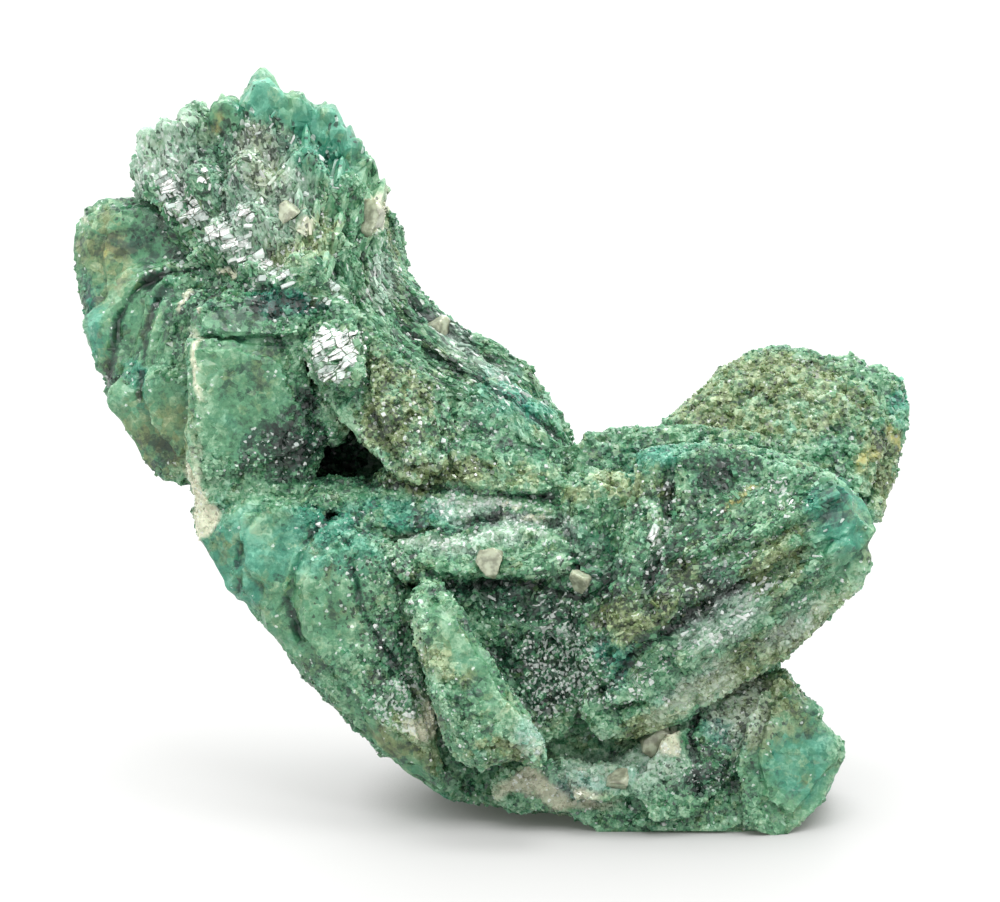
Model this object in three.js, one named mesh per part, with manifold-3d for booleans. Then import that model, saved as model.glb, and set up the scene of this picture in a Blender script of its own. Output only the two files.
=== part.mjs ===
// Cahnite with borcarite: a cluster of tabular green borcarite crystals grown together, 42 mm across,
// with a few small cahnite crystals seated on it.
//
// The crystals are laid out as the cluster is seen from the front by an eye a little above the table:
// x runs right, y runs up the view and z runs towards the eye. The finished cluster is then turned
// upright, cut flat where it stands, and moved so that its origin is the middle of its foot.
import * as THREE from "three";
import { mergeVertices } from "three/addons/utils/BufferGeometryUtils.js";
import Module from "manifold-3d";

const wasm = await Module();
wasm.setup();

// Driving dimensions, in millimetres and degrees.
const EYE_ELEVATION = 14;
const FLOOR = 1.25;
const SOCKET_GAP = 0.05;
const FINEST_DETAIL = 0.12;
const STEP_INSET = 0.8;
const STEP_RISE = 0.45;
const BACK_TAPER = 0.74;
const BORCARITE_GREEN = 0x4f9a7b;
const CAHNITE_GREY = 0xb9ad94;

const radians = THREE.MathUtils.degToRad;

// Solids from geometry, and geometry from solids.
function solidOf(geometry, nearest = 1e-4) {
  const bare = geometry.clone();
  bare.deleteAttribute("normal");
  bare.deleteAttribute("uv");
  const merged = mergeVertices(bare, nearest);
  return new wasm.Manifold(
    new wasm.Mesh({
      numProp: 3,
      vertProperties: merged.attributes.position.array,
      triVerts: new Uint32Array(merged.index.array),
    }),
  );
}

// The largest piece of a solid by itself, without loose chips or sealed pockets.
function largestPiece(solid) {
  return solid.decompose().sort((a, b) => b.volume() - a.volume())[0];
}

function geometryOf(solid) {
  const mesh = solid.getMesh();
  const geometry = new THREE.BufferGeometry();
  geometry.setAttribute("position", new THREE.BufferAttribute(mesh.vertProperties, 3));
  geometry.setIndex(new THREE.BufferAttribute(mesh.triVerts, 1));
  return geometry;
}

// The widest chamfer that an outline has room for, so that none of its edges vanishes.
function roomForChamfer(outline) {
  const points = outline.map(([x, y]) => new THREE.Vector2(x, y));
  const edge = (i) => points[(i + 1) % points.length].clone().sub(points[i % points.length]);
  const turn = (i) => {
    const [before, after] = [edge(i + points.length - 1), edge(i)];
    return Math.tan(Math.atan2(before.cross(after), before.dot(after)) / 2);
  };
  const winding = Math.sign(THREE.ShapeUtils.area(points));
  const room = points.map((_, i) => edge(i).length() / Math.max(winding * (turn(i) + turn(i + 1)), 1e-6));
  return 0.8 * Math.min(...room);
}

// A flat crystal: an outline with chamfered edges, whose front face lies at depth 0.
function slab(outline, thick, chamfer) {
  const shape = new THREE.Shape(outline.map(([x, y]) => new THREE.Vector2(x, y)));
  const bevel = Math.min(chamfer, roomForChamfer(outline));
  const geometry = new THREE.ExtrudeGeometry(shape, {
    depth: thick - 2 * bevel,
    bevelEnabled: bevel > 0,
    bevelThickness: bevel,
    bevelSize: bevel,
    bevelOffset: -bevel,
    bevelSegments: 1,
    curveSegments: 1,
  });
  return geometry.translate(0, 0, bevel - thick);
}

function middleOf(outline) {
  return outline.reduce(([a, b], [x, y]) => [a + x / outline.length, b + y / outline.length], [0, 0]);
}

// A tabular crystal given by its outline as seen. Its front lies at the depth called face and leans
// by so much per millimetre across and up; it narrows towards the back.
function plate({ outline, face, thick, lean = [0, 0], bevel = 0.5, taper = BACK_TAPER }) {
  const [mx, my] = middleOf(outline);
  const geometry = slab(outline.map(([x, y]) => [x - mx, y - my]), thick, bevel);
  const position = geometry.attributes.position;
  for (let i = 0; i < position.count; i++) {
    const [x, y, z] = [position.getX(i), position.getY(i), position.getZ(i)];
    const narrow = 1 + ((1 - taper) * z) / thick;
    position.setXYZ(i, mx + x * narrow, my + y * narrow, face + z + lean[0] * x + lean[1] * y);
  }
  return solidOf(geometry);
}

// A plate with lower growth steps on its face, each smaller than the one beneath.
function stepped(crystal) {
  const { outline, face, lean = [0, 0], steps = 0, aside = [0, 0] } = crystal;
  const [mx, my] = middleOf(outline);
  const solids = [plate(crystal)];
  for (let k = 1; k <= steps; k++) {
    const centre = [mx + aside[0] * k, my + aside[1] * k];
    const inset = outline.map(([x, y], i) => {
      const pull = STEP_INSET ** k * (1 - 0.03 * ((3 * i + k) % 4));
      return [centre[0] + (x - mx) * pull, centre[1] + (y - my) * pull];
    });
    const lift = lean[0] * aside[0] * k + lean[1] * aside[1] * k;
    const rise = face + k * STEP_RISE + lift;
    solids.push(plate({ ...crystal, outline: inset, face: rise, thick: 1.6, bevel: 0 }));
  }
  return wasm.Manifold.union(solids);
}

// A bladed crystal from its foot to its chisel tip. Spin turns its flat face about its length.
function blade({ foot, tip, width, thick, spin }) {
  const from = new THREE.Vector3(...foot);
  const along = new THREE.Vector3(...tip).sub(from);
  const length = along.length();
  along.normalize();
  const facing = new THREE.Vector3(0, 0, 1).applyAxisAngle(along, radians(spin));
  const across = new THREE.Vector3().crossVectors(along, facing).normalize();
  facing.crossVectors(across, along);
  const half = width / 2;
  const outline = [
    [-half, 0],
    [half, 0],
    [half, length - 1.1 * half],
    [0.3 * half, length],
    [-0.4 * half, length - 0.1 * half],
    [-half, length - 1.2 * half],
  ];
  const place = new THREE.Matrix4().makeBasis(across, along, facing).setPosition(from);
  return solidOf(slab(outline, thick, 0).translate(0, 0, thick / 2).applyMatrix4(place));
}

// A long rib with a diamond section, along a curve.
function rib({ path, width, thick }) {
  const section = new THREE.Shape([
    new THREE.Vector2(-width / 2, 0),
    new THREE.Vector2(0, -thick / 2),
    new THREE.Vector2(width / 2, 0),
    new THREE.Vector2(0, thick / 2),
  ]);
  const extrudePath = new THREE.CatmullRomCurve3(path.map((p) => new THREE.Vector3(...p)));
  return solidOf(
    new THREE.ExtrudeGeometry(section, { steps: path.length + 1, bevelEnabled: false, extrudePath }),
  );
}

// A rough lump or pit with flat faces.
function lump(centre, size, detail = 1) {
  return solidOf(
    new THREE.IcosahedronGeometry(1, detail).scale(...size.map((s) => s / 2)).translate(...centre),
  );
}

// The crest: a core and fused rows of blades, whose chisel tips make its saw-toothed top.
const CREST_CORE = {
  outline: [[-17.4, 31.9], [-17.3, 33.3], [-16.9, 34.2], [-16, 34.9], [-14.7, 35.3], [-13.3, 35.8],
    [-11.8, 36.4], [-10.3, 36], [-9.1, 35.5], [-7.9, 34.9], [-7.2, 34], [-6.4, 32.8], [-5.8, 31.5],
    [-5.5, 30.1], [-5.3, 28.5], [-7.3, 26.6], [-9.1, 26.7], [-10.6, 27.1], [-12.1, 27.6],
    [-13.3, 28.4], [-14.6, 28.6], [-15.3, 29.9], [-16.3, 31.2]],
  face: 0.6, thick: 6, lean: [0.02, -0.28], bevel: 0,
};
// Tips along the top of the crest: x, y and width of each, as seen.
const CREST_TIPS = [
  [-17.5, 34, 1.3], [-16.9, 35.2, 1.4], [-16, 35.9, 1.3], [-15.1, 36.3, 1.4], [-13.4, 36.9, 2],
  [-11.5, 38.2, 2.2], [-9.8, 37, 1.9], [-8.3, 36.5, 1.8], [-7.1, 35.2, 1.5], [-6.3, 33.9, 1.3],
  [-5.6, 32.7, 1.2],
];
const CREST_FOCUS = [-9.6, 22];
const CREST_CROWN = -11;
const CREST_ROUND = 0.055;
// Rows of blades down the front and the back of the crest: how far from the tips to the focus, depth,
// length, and how many tips are passed over between blades.
const CREST_ROWS = [
  { share: 0, depth: 0, length: 4.6, every: 1 },
  { share: 0.17, depth: 1.6, length: 3.8, every: 2 },
  { share: 0.36, depth: 3, length: 3.8, every: 2 },
  { share: 0.53, depth: 4, length: 3.6, every: 3 },
  { share: 0.05, depth: -2.4, length: 4.4, every: 3 },
];

function crestBlades() {
  const made = [];
  CREST_ROWS.forEach(({ share, depth, length, every }, row) => {
    CREST_TIPS.forEach(([x, y, width], i) => {
      if (i % every !== 0) return;
      const round = CREST_ROUND * (x - CREST_CROWN) ** 2;
      const tip = new THREE.Vector3(
        x + (CREST_FOCUS[0] - x) * share + 0.35 * (row % 2),
        y + (CREST_FOCUS[1] - y) * share - 0.22 * ((i + row) % 3),
        depth - (1 - share) * round + 0.3 * ((i + row) % 2),
      );
      const down = new THREE.Vector3(CREST_FOCUS[0], CREST_FOCUS[1], tip.z - 1.5).sub(tip).normalize();
      const foot = tip.clone().addScaledVector(down, length);
      const spin = 4 * (x - CREST_CROWN) + 5 * (((i + row) % 3) - 1);
      const wide = width * (1 + 0.3 * (every - 1));
      made.push(blade({ foot: foot.toArray(), tip: tip.toArray(), width: wide, thick: 2.4, spin }));
    });
  });
  return made;
}

// The ridge that runs down from the crest to the middle of the cluster, in long curved terraces.
const RIDGE_TOP = [
  [-5.4, 32.5], [-5.1, 30.5], [-4.6, 28.5], [-3.9, 27.5], [-3.2, 26.5], [-1, 25.1], [0.5, 24.2],
  [1.9, 23.3], [3.1, 21.8], [4.2, 19.8],
];
const RIDGE_FOOT = [[3.4, 17.4], [-0.5, 17.2], [-3, 20.2], [-5.6, 23.6], [-7.6, 27.2]];
const RIDGE_TERRACES = 4;

function ridge() {
  return Array.from({ length: RIDGE_TERRACES }, (_, k) => {
    const top = RIDGE_TOP.map(([x, y], i) => [
      x - 0.5 * k - 0.1 * ((i + k) % 2),
      y - 0.64 * k - 0.14 * ((i + 2 * k) % 3),
    ]);
    return plate({
      outline: [...top.slice(0, top.length - Math.floor(k / 3)), ...RIDGE_FOOT],
      face: 0.9 + 0.7 * k,
      thick: 6 + 0.4 * k,
      lean: [0.03, -0.1],
      bevel: 0,
    });
  });
}

// The pages: rounded plates stepping back to the left, and the flat bright plate in front of them.
const PAGES = [
  {
    outline: [[-19.5, 31.7], [-20.4, 31.2], [-20.9, 30.2], [-21.1, 28.9], [-20.9, 27.6],
      [-20.6, 26.4], [-20.1, 25.5], [-19.2, 25], [-15.5, 25.6], [-13.2, 28.6], [-14.6, 30.9],
      [-15.6, 31.4], [-17.6, 31.8]],
    face: -0.8, thick: 4, lean: [0.22, -0.12], bevel: 0.8, steps: 1, aside: [0.9, 0.1],
  },
  {
    outline: [[-18.5, 28.2], [-17.5, 28.7], [-15.8, 28.6], [-13.6, 28.3], [-13.8, 25.1],
      [-16, 21.1], [-18.6, 21.3], [-19.3, 23], [-19.9, 24.6], [-20.2, 25.4], [-19.7, 26.1],
      [-19.1, 27.2]],
    face: 0.9, thick: 4.6, lean: [0.2, -0.05], bevel: 0.6,
  },
  {
    outline: [[-17.2, 27], [-16, 27.9], [-13.6, 27.8], [-13.4, 24.6], [-15.8, 21.4], [-18.6, 21.6],
      [-18.2, 23.4], [-17.5, 25.2]],
    face: 1.9, thick: 3.5, lean: [0.2, 0.04], bevel: 0,
  },
  {
    outline: [[-16.9, 26.4], [-15, 27.2], [-13, 27.2], [-13, 23.6], [-14, 19.6], [-14.9, 17.2],
      [-16.3, 17.4], [-17.1, 18.2], [-17.8, 19.3], [-18.4, 20.4], [-19.1, 21.4], [-18.9, 22],
      [-18.1, 23], [-17.4, 24.9]],
    face: 2.7, thick: 5.5, lean: [0.18, 0.05], bevel: 0.5, steps: 1, aside: [0.8, 0.6],
  },
  {
    outline: [[-17.5, 22.6], [-16.4, 23.3], [-14.8, 23], [-14.5, 20.2], [-15.6, 18.8],
      [-16.9, 20.4]],
    face: 3.6, thick: 2.4, lean: [0.12, 0.1], bevel: 0,
  },
  {
    outline: [[-15.1, 26.2], [-13.3, 27.1], [-11.4, 27.3], [-9.3, 26.7], [-7.9, 25.7],
      [-8.2, 24.6], [-11.5, 24.3], [-15, 24.5]],
    face: 4.9, thick: 8, lean: [0.02, -0.4], bevel: 0.5, steps: 1, aside: [-0.4, 0.1],
  },
  {
    outline: [[-15.2, 24.6], [-12.3, 24.5], [-9.5, 24.2], [-9.1, 22.4], [-8.4, 21.1],
      [-7.5, 19.4], [-8, 18.1], [-10, 17.3], [-12.5, 16.6], [-14.3, 16.3], [-14.8, 17.9],
      [-15.2, 19.6], [-15.1, 21.9]],
    face: 5.2, thick: 8, lean: [-0.1, 0.07], bevel: 0, steps: 1, aside: [-0.5, 0.5],
  },
  {
    outline: [[-15.2, 19.9], [-14.3, 19.3], [-13.4, 16.6], [-13, 15.1], [-13.9, 14.2],
      [-14.5, 14.6], [-14.6, 16], [-14.7, 16.9], [-15.1, 18.1]],
    face: 4.4, thick: 6, lean: [0.15, 0], bevel: 0,
  },
];

// The blade that overhangs the dark cavity, with the lumpy mass to its right.
const OVERHANG = [
  {
    outline: [[-9.4, 24.4], [-8.7, 25.5], [-7.6, 26.8], [-5.9, 25.2], [-4.4, 23.6], [-2.3, 22.2],
      [-1.9, 20], [-2.4, 18.2], [-3.8, 17.3], [-4.6, 17.7], [-5.5, 18.6], [-6.6, 19.7],
      [-7.6, 20.7], [-8.3, 21.8], [-9, 22.9]],
    face: 6, thick: 4, lean: [-0.08, -0.2], bevel: 0,
  },
  {
    outline: [[-9, 24.5], [-8.4, 25.5], [-6.9, 25.6], [-6.4, 24.2], [-6.3, 22.9], [-7.2, 21.9],
      [-8.2, 22.2], [-8.7, 23.3]],
    face: 6.9, thick: 1.6, lean: [-0.02, -0.16], bevel: 0, steps: 1, aside: [0.3, -0.2],
  },
  {
    outline: [[-6, 24.4], [-4.6, 23], [-2.9, 21.8], [-2.4, 20.2], [-3, 18.6], [-4.2, 18.3],
      [-5.3, 19.9], [-6, 22]],
    face: 6.6, thick: 2, lean: [-0.14, -0.22], bevel: 0,
  },
  {
    outline: [[-2.2, 21], [-0.4, 22.7], [1.4, 22.4], [3.2, 21], [4, 19.3], [3.4, 17.6],
      [1, 16.9], [-1.6, 16.6], [-2.8, 18.2]],
    face: 5, thick: 4, lean: [-0.12, -0.16], bevel: 0.6, steps: 1, aside: [-0.1, 0.4],
  },
  {
    outline: [[-3.4, 18.6], [-1, 19.6], [1.4, 19], [3.6, 18.6], [4, 17], [1, 16.5], [-2, 16.4]],
    face: 5.6, thick: 3, lean: [-0.05, -0.3], bevel: 0.4, steps: 1, aside: [0.5, 0],
  },
];

// The body: the great plate that slants down to the left, with lobes and ledges on its face.
const BODY = [
  {
    outline: [[-14.3, 16.4], [-9.5, 17.4], [-4.5, 17.6], [-0.5, 17.1], [4.3, 17.1], [8, 15.6],
      [8.5, 9.6], [7.5, 2.6], [2.8, 1.2], [1, 1.3], [-2.3, 1.6], [-4.4, 3.1], [-7, 5.4],
      [-9.4, 7.9], [-10.4, 9.1], [-11, 10], [-12.5, 11.6], [-13.5, 13], [-14.4, 14.5]],
    face: 4.3, thick: 9, lean: [0.04, 0.12], bevel: 0,
  },
  {
    outline: [[-14.1, 14.9], [-13.6, 16.1], [-12.2, 16.9], [-10, 16.8], [-8.2, 16], [-7.3, 14.8],
      [-8.5, 13.6], [-9.4, 12], [-10.2, 9.2], [-11.1, 10.2], [-12.5, 11.7], [-13.5, 13.2]],
    face: 5.5, thick: 4.4, lean: [0.18, 0.12], bevel: 0.5, steps: 1, aside: [0.7, 0.2],
  },
  {
    outline: [[-11.6, 11.9], [-10.9, 14.2], [-9, 15.6], [-7, 15.8], [-5.4, 14.8], [-5, 12],
      [-7, 8], [-8.4, 7], [-9.5, 8.1], [-10.5, 9.3], [-11.3, 10.4]],
    face: 6, thick: 4.4, lean: [0.16, 0.08], bevel: 0.5, steps: 1, aside: [0.5, 0.4],
  },
  {
    outline: [[-9.9, 11.8], [-9.1, 13.7], [-7.4, 14.9], [-5.2, 14.8], [-4.4, 13], [-3.6, 11.2],
      [-3.3, 7.6], [-2.7, 4.9], [-2.3, 1.9], [-4.4, 3.2], [-7, 5.5], [-8.8, 7.3], [-9.6, 9.2]],
    face: 6.3, thick: 5, lean: [0.1, 0.12], bevel: 0.6, steps: 1, aside: [-0.5, 0.9],
  },
  {
    outline: [[-8.4, 16.7], [-4.5, 17.2], [-0.5, 17.1], [3.8, 17], [4.4, 15.8], [0.5, 15.4],
      [-3.5, 15.2], [-7, 15.4]],
    face: 6, thick: 6, lean: [0, -0.5], bevel: 0,
  },
  {
    outline: [[-5.9, 13.6], [-4.5, 14.4], [-2, 15.1], [1.5, 15.4], [4.4, 15], [4.9, 13.4],
      [2, 12.6], [-1, 12.8], [-4.2, 12.6]],
    face: 6.9, thick: 5, lean: [0.02, -0.42], bevel: 0, steps: 1, aside: [0.8, 0],
  },
  {
    outline: [[-3.6, 13], [0, 13.6], [4.6, 13.2], [5, 9], [4, 5], [1, 4], [-2.4, 6], [-3.4, 9.6]],
    face: 6, thick: 4, lean: [0.05, 0.18], bevel: 0,
  },
  {
    outline: [[2, 16.6], [2.9, 18.5], [4.4, 18.9], [6, 18.7], [6.4, 16.4], [4, 15.6]],
    face: 3.6, thick: 8, lean: [0, -0.1], bevel: 0,
  },
  {
    outline: [[6.8, 4.4], [7.4, 12.8], [9.6, 16.6], [14.2, 16.8], [16.6, 14.4], [15.2, 11],
      [13.2, 8.2], [14.2, 6], [11, 4]],
    face: 2.4, thick: 8.5, lean: [-0.1, 0.04], bevel: 0, taper: 0.96,
  },
];

// The pale blade standing out of the face of the body.
const OUTSTANDING = [
  {
    outline: [[-4.1, 10.8], [-3.2, 11.6], [-2, 11.8], [-1.3, 10.9], [-0.7, 9.6], [0.2, 8.6],
      [1, 7], [2.2, 5.4], [2.8, 4.3], [2.9, 3.6], [2.2, 3.2], [1.4, 3.6], [0.4, 3.3], [-0.6, 3.1],
      [-1.5, 3.5], [-2.2, 4.4], [-2.6, 5.6], [-3.1, 7], [-3.5, 9]],
    face: 9.6, thick: 4.2, lean: [0.12, 0.03], bevel: 0.5, steps: 1, aside: [-0.2, 0.3],
  },
  {
    outline: [[-4.3, 11], [-3.9, 11.9], [-3.3, 12.6], [-2.5, 12.5], [-1.9, 11.7], [-2.8, 10.8]],
    face: 8.8, thick: 3, lean: [0.1, -0.6], bevel: 0.25,
  },
];

// The right lobe: thick plates that come towards the eye, lying one under another.
const RIGHT_LOBE = [
  {
    outline: [[4.4, 19.3], [4.6, 19.8], [5.5, 20], [6.9, 20.2], [8.2, 20.1], [10.5, 20.3],
      [13.5, 19.8], [11.5, 16.6], [5.5, 16.2], [3.9, 17.3]],
    face: 4.6, thick: 7, lean: [0.02, -0.3], bevel: 0,
  },
  {
    outline: [[3.5, 17.5], [5, 18.2], [7.5, 18], [8.1, 16.4], [8.2, 13.6], [7.5, 10.6],
      [7.3, 8.6], [6.7, 6.6], [7, 4.9], [5.5, 4.4], [4, 6.6], [4.3, 9.6], [3.7, 12.6],
      [3.6, 15.1]],
    face: 7.2, thick: 7, lean: [-0.1, -0.06], bevel: 0.45, steps: 1, aside: [0.2, 0.7],
  },
  {
    outline: [[6, 4.5], [7.5, 4.7], [9.5, 5.5], [12.5, 7.5], [14.7, 8.7], [15.5, 9.5],
      [17.5, 11.4], [18.6, 12.5], [19.2, 13.6], [18.9, 14.6], [17.5, 14.2], [14.5, 12.1],
      [11.5, 10.1], [8.5, 8], [6.5, 6.4]],
    face: 7.6, thick: 7, lean: [-0.06, 0.2], bevel: 0.5,
  },
  {
    outline: [[5.6, 6.4], [7.5, 6.6], [10.5, 8.1], [13.5, 10.4], [16, 12.2], [18.6, 14.2],
      [19.2, 15.1], [18, 16.2], [15, 15], [12.5, 13.8], [10, 12.2], [7.5, 10.1], [5.7, 8]],
    face: 8.7, thick: 5, lean: [-0.05, 0.12], bevel: 0,
  },
  {
    outline: [[7.3, 19.2], [10.5, 19.6], [13.5, 19.2], [16, 18.5], [17.7, 17.6], [18.8, 16.5],
      [19.4, 15.1], [18.9, 14.2], [16.5, 13.6], [13.5, 12.6], [10.5, 11.2], [8, 9.6], [6.2, 8.6],
      [5.7, 10.6], [6.2, 13.6], [6.9, 16.6]],
    face: 9, thick: 11, lean: [-0.04, -0.13], bevel: 0.7, steps: 1, aside: [0.8, 0.7],
  },
];
// Ribs on the right lobe: start, end and width of each.
const LOBE_RIBS = [
  [[6.6, 5.6, 7.5], [16.2, 12.1, 7.9], 1],
  [[9.4, 8.6, 8.7], [17.9, 14.6, 8.7], 1.3],
  [[7.4, 10.3, 9.7], [15.4, 14.6, 9.5], 0.9],
  [[9.6, 13.8, 9.7], [17.4, 16.9, 9.1], 1.2],
];

function lobeRibs() {
  return LOBE_RIBS.map(([start, end, width], i) => {
    const middle = start.map((s, k) => (s + end[k]) / 2);
    middle[1] += 0.25 * ((i % 3) - 1);
    return rib({ path: [start, middle, end], width, thick: width });
  });
}

// The rear lobe on the right.
const REAR_LOBE = [
  {
    outline: [[8.3, 20.4], [8.6, 20.7], [9.1, 21.1], [10, 21.8], [10.8, 22.5], [11.6, 23.3],
      [12.9, 24], [14.1, 24.2], [14.7, 24.4], [15.1, 24.1], [16, 24.2], [16.7, 23.7],
      [17.6, 23.7], [18.4, 23.8], [18.9, 23.2], [19.7, 23.3], [20.1, 22.9], [20.7, 22.5],
      [20.8, 21.8], [21.1, 21.1], [20.7, 19.6], [20.6, 18.9], [20.3, 17.5], [19.7, 16.4],
      [19.2, 15.4], [17.5, 15.6], [12.5, 16.6], [8.7, 18.6]],
    face: -0.6, thick: 6.4, lean: [-0.02, -0.3], bevel: 0.5,
  },
  {
    outline: [[9, 19.4], [9.9, 21], [11.6, 22.6], [13.4, 23.4], [15.6, 23.3], [17.8, 22.8],
      [19.2, 22.2], [20, 20.6], [19.8, 18.6], [19, 16.6], [14, 16]],
    face: 0.5, thick: 3, lean: [0, -0.36], bevel: 0.4, steps: 1, aside: [0.2, -0.5],
  },
];

// The foot: the block that the cluster stands on, with a clear tip to the right and crumbly matrix left.
const FOOT = [
  {
    outline: [[7.5, 4.7], [9.5, 5.4], [12.5, 7.4], [14.7, 8.1], [15.4, 7.1], [16, 5.6],
      [15.6, 2.6], [15, -0.6], [12.5, -1.4], [8, -1.2], [5.3, -0.4], [5.1, 1.6], [6, 3.6]],
    face: 4.8, thick: 12, lean: [-0.02, -0.1], bevel: 0, steps: 1, aside: [-0.6, 0.3],
  },
  {
    outline: [[13.3, 6.6], [14.6, 7.6], [15.4, 7.1], [16.4, 6.3], [16.6, 5.5], [17, 5], [17.5, 4.6],
      [17.7, 3.8], [17.5, 3.1], [17.1, 2.5], [16.6, 1.5], [16.1, 1], [15.5, 0.6], [14.6, -0.4],
      [12.8, 0.2], [12.2, 3.2]],
    face: 5.2, thick: 8, lean: [-0.3, -0.04], bevel: 0, steps: 1, aside: [0.2, 0.4],
  },
  {
    outline: [[8.6, 4.6], [10.6, 5.6], [12.6, 4.4], [11.9, 2.6], [10, 0.8], [8.2, 0.6], [7, 2]],
    face: 6, thick: 3, lean: [-0.2, -0.1], bevel: 0,
  },
  {
    outline: [[0.7, 3.1], [2.5, 3.3], [4.2, 3.6], [5.5, 3.2], [6.6, 1.6], [6, -0.4], [5, 0.2],
      [4.1, 0.9], [2.5, 1.2], [1, 1.1], [0.2, 1.6], [0, 2.6]],
    face: 5.4, thick: 8, lean: [0, 0.1], bevel: 0,
  },
  {
    outline: [[3.7, 2.9], [5.5, 3.5], [7.3, 3.2], [7.4, 2], [5.6, 1.5], [4.2, 1.8]],
    face: 6.3, thick: 2, lean: [-0.05, -0.2], bevel: 0,
  },
];

// The back: broad plates that close the cluster behind, and the rear feet under them.
const BACK = [
  {
    outline: [[-16.4, 31], [-12.6, 34], [-8.4, 34], [-6, 30.6], [-4.8, 26.6], [-0.6, 23.2],
      [-3.2, 18], [-12, 17.4], [-15.4, 19.6], [-17, 24.6]],
    face: -2, thick: 4, lean: [0.03, 0.05], bevel: 0,
  },
  {
    outline: [[-10.4, 18.6], [-3, 21.4], [3.6, 19.4], [9, 19.2], [14.4, 19.4], [15.6, 14],
      [14.4, 9.4], [14.8, 4.6], [14, 0.6], [6, 0.4], [-2.2, 1.7], [-5.6, 5.6], [-8.6, 10.4]],
    face: -2.4, thick: 6, lean: [0, 0.05], bevel: 0, taper: 0.8,
  },
  {
    outline: [[-1.8, 5.6], [3.4, 6.6], [9.6, 6.4], [13.4, 5], [13.2, -0.6], [4, -0.4],
      [-1.4, 1.9]],
    face: -5.2, thick: 5, lean: [0, -0.1], bevel: 0,
  },
];
// Plates on the back face outwards, away from the eye. Their faces are given from behind.
const BACK_FACES = [
  {
    outline: [[-14.6, 28], [-12.4, 31], [-9.6, 31.6], [-7, 28.6], [-5.4, 23.4], [-9.6, 20.6],
      [-13.6, 22.4]],
    face: 6.9, thick: 5, lean: [0.1, 0.08], bevel: 0,
  },
  {
    outline: [[-7.4, 12.8], [-4.4, 17.4], [0.6, 18.4], [3.4, 15.8], [2.4, 9.6], [-1.2, 6.4],
      [-5, 8.4]],
    face: 9.4, thick: 3.4, lean: [0.14, -0.1], bevel: 0,
  },
  {
    outline: [[1.8, 17.4], [6.4, 18.8], [12.4, 18.6], [13.4, 14.4], [10.6, 9.6], [5.4, 8.8],
      [2.4, 11.8]],
    face: 10, thick: 4, lean: [-0.16, -0.12], bevel: 0,
  },
  {
    outline: [[0.4, 7.2], [4.6, 9.4], [9.4, 8.4], [12, 4.8], [9.8, 2.2], [3.4, 2.2]],
    face: 9.6, thick: 4, lean: [0.04, 0.2], bevel: 0,
  },
  {
    outline: [[9.6, 17], [10.6, 21], [13.4, 23], [17.4, 22.6], [19.4, 19.4], [17.4, 16.4]],
    face: 7.6, thick: 3, lean: [0.05, 0.2], bevel: 0,
  },
];

// What is missing: the dark cavity under the overhang, and the hollow behind the pale blade.
const CAVITY = {
  outline: [[-9.4, 19], [-8.3, 20.1], [-7.2, 19.9], [-5.9, 18.6], [-5.1, 17.7], [-7.6, 17.5],
    [-9.6, 17.5]],
  face: 12, thick: 13, bevel: 0,
};
const HOLLOW = { centre: [3, 7.4, 8], size: [4.2, 9, 6] };

// Cahnite crystals: where each sits as seen, its size, and how it is turned.
const CAHNITE = [
  { at: [0, 13.5], size: [1.4, 1.7, 1.5], turn: [20, 35, 200] },
  { at: [4.5, 12.6], size: [1.1, 1.7, 1.2], turn: [70, 20, 10] },
  { at: [8.3, 4.6], size: [1.9, 1.6, 1.5], turn: [35, 60, 40] },
  { at: [-6, 30.6], size: [1.4, 2.3, 1.6], turn: [10, 15, 5] },
  { at: [-2.6, 25.3], size: [1.2, 1.2, 1.2], turn: [50, 10, 70] },
  { at: [-10.1, 31], size: [1, 1.4, 1.1], turn: [15, 80, 120] },
  { at: [6.4, 2.6], size: [1.4, 1.2, 1.1], turn: [80, 40, 30] },
];
const SEAT_DEPTH = 0.42;

// A cahnite crystal is a wedge-shaped disphenoid, whose corners are cut by the opposite one.
function disphenoid(size, grow) {
  const upright = new THREE.TetrahedronGeometry(1);
  const opposite = upright.clone().rotateX(Math.PI / 2).scale(1.75, 1.75, 1.75);
  const cut = geometryOf(solidOf(upright).intersect(solidOf(opposite)));
  cut.computeBoundingBox();
  const span = cut.boundingBox.getSize(new THREE.Vector3());
  return cut.scale(...size.map((s, i) => (s + 2 * grow) / span.getComponent(i)));
}

function surfaceDepth(solid, x, y) {
  const probe = new THREE.BoxGeometry(0.3, 0.3, 60).translate(x, y, 0);
  return solid.intersect(solidOf(probe)).boundingBox().max[2];
}

function seated({ at: [x, y], size, turn }, depth, grow) {
  const place = new THREE.Matrix4()
    .makeRotationFromEuler(new THREE.Euler(...turn.map(radians)))
    .setPosition(x, y, depth + (0.5 - SEAT_DEPTH) * size[2] - 0.1);
  return disphenoid(size, grow).applyMatrix4(place);
}

// The cluster as seen, then its sockets.
const grown = wasm.Manifold.union([
  plate(CREST_CORE),
  ...crestBlades(),
  ...ridge(),
  ...[...PAGES, ...OVERHANG, ...BODY, ...RIGHT_LOBE, ...REAR_LOBE, ...FOOT, ...BACK].map(stepped),
  ...BACK_FACES.map((crystal) => stepped(crystal).mirror([0, 0, 1])),
  ...lobeRibs(),
]);
const hollowed = grown
  .subtract(plate(CAVITY))
  .subtract(lump(HOLLOW.centre, HOLLOW.size, 0))
  .add(wasm.Manifold.union(OUTSTANDING.map(stepped)));
const trimmed = hollowed.simplify(FINEST_DETAIL);
const seats = CAHNITE.map(({ at }) => surfaceDepth(trimmed, ...at));
const socketed = CAHNITE.reduce(
  (solid, crystal, i) => solid.subtract(solidOf(seated(crystal, seats[i], SOCKET_GAP))),
  trimmed,
);

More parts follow.
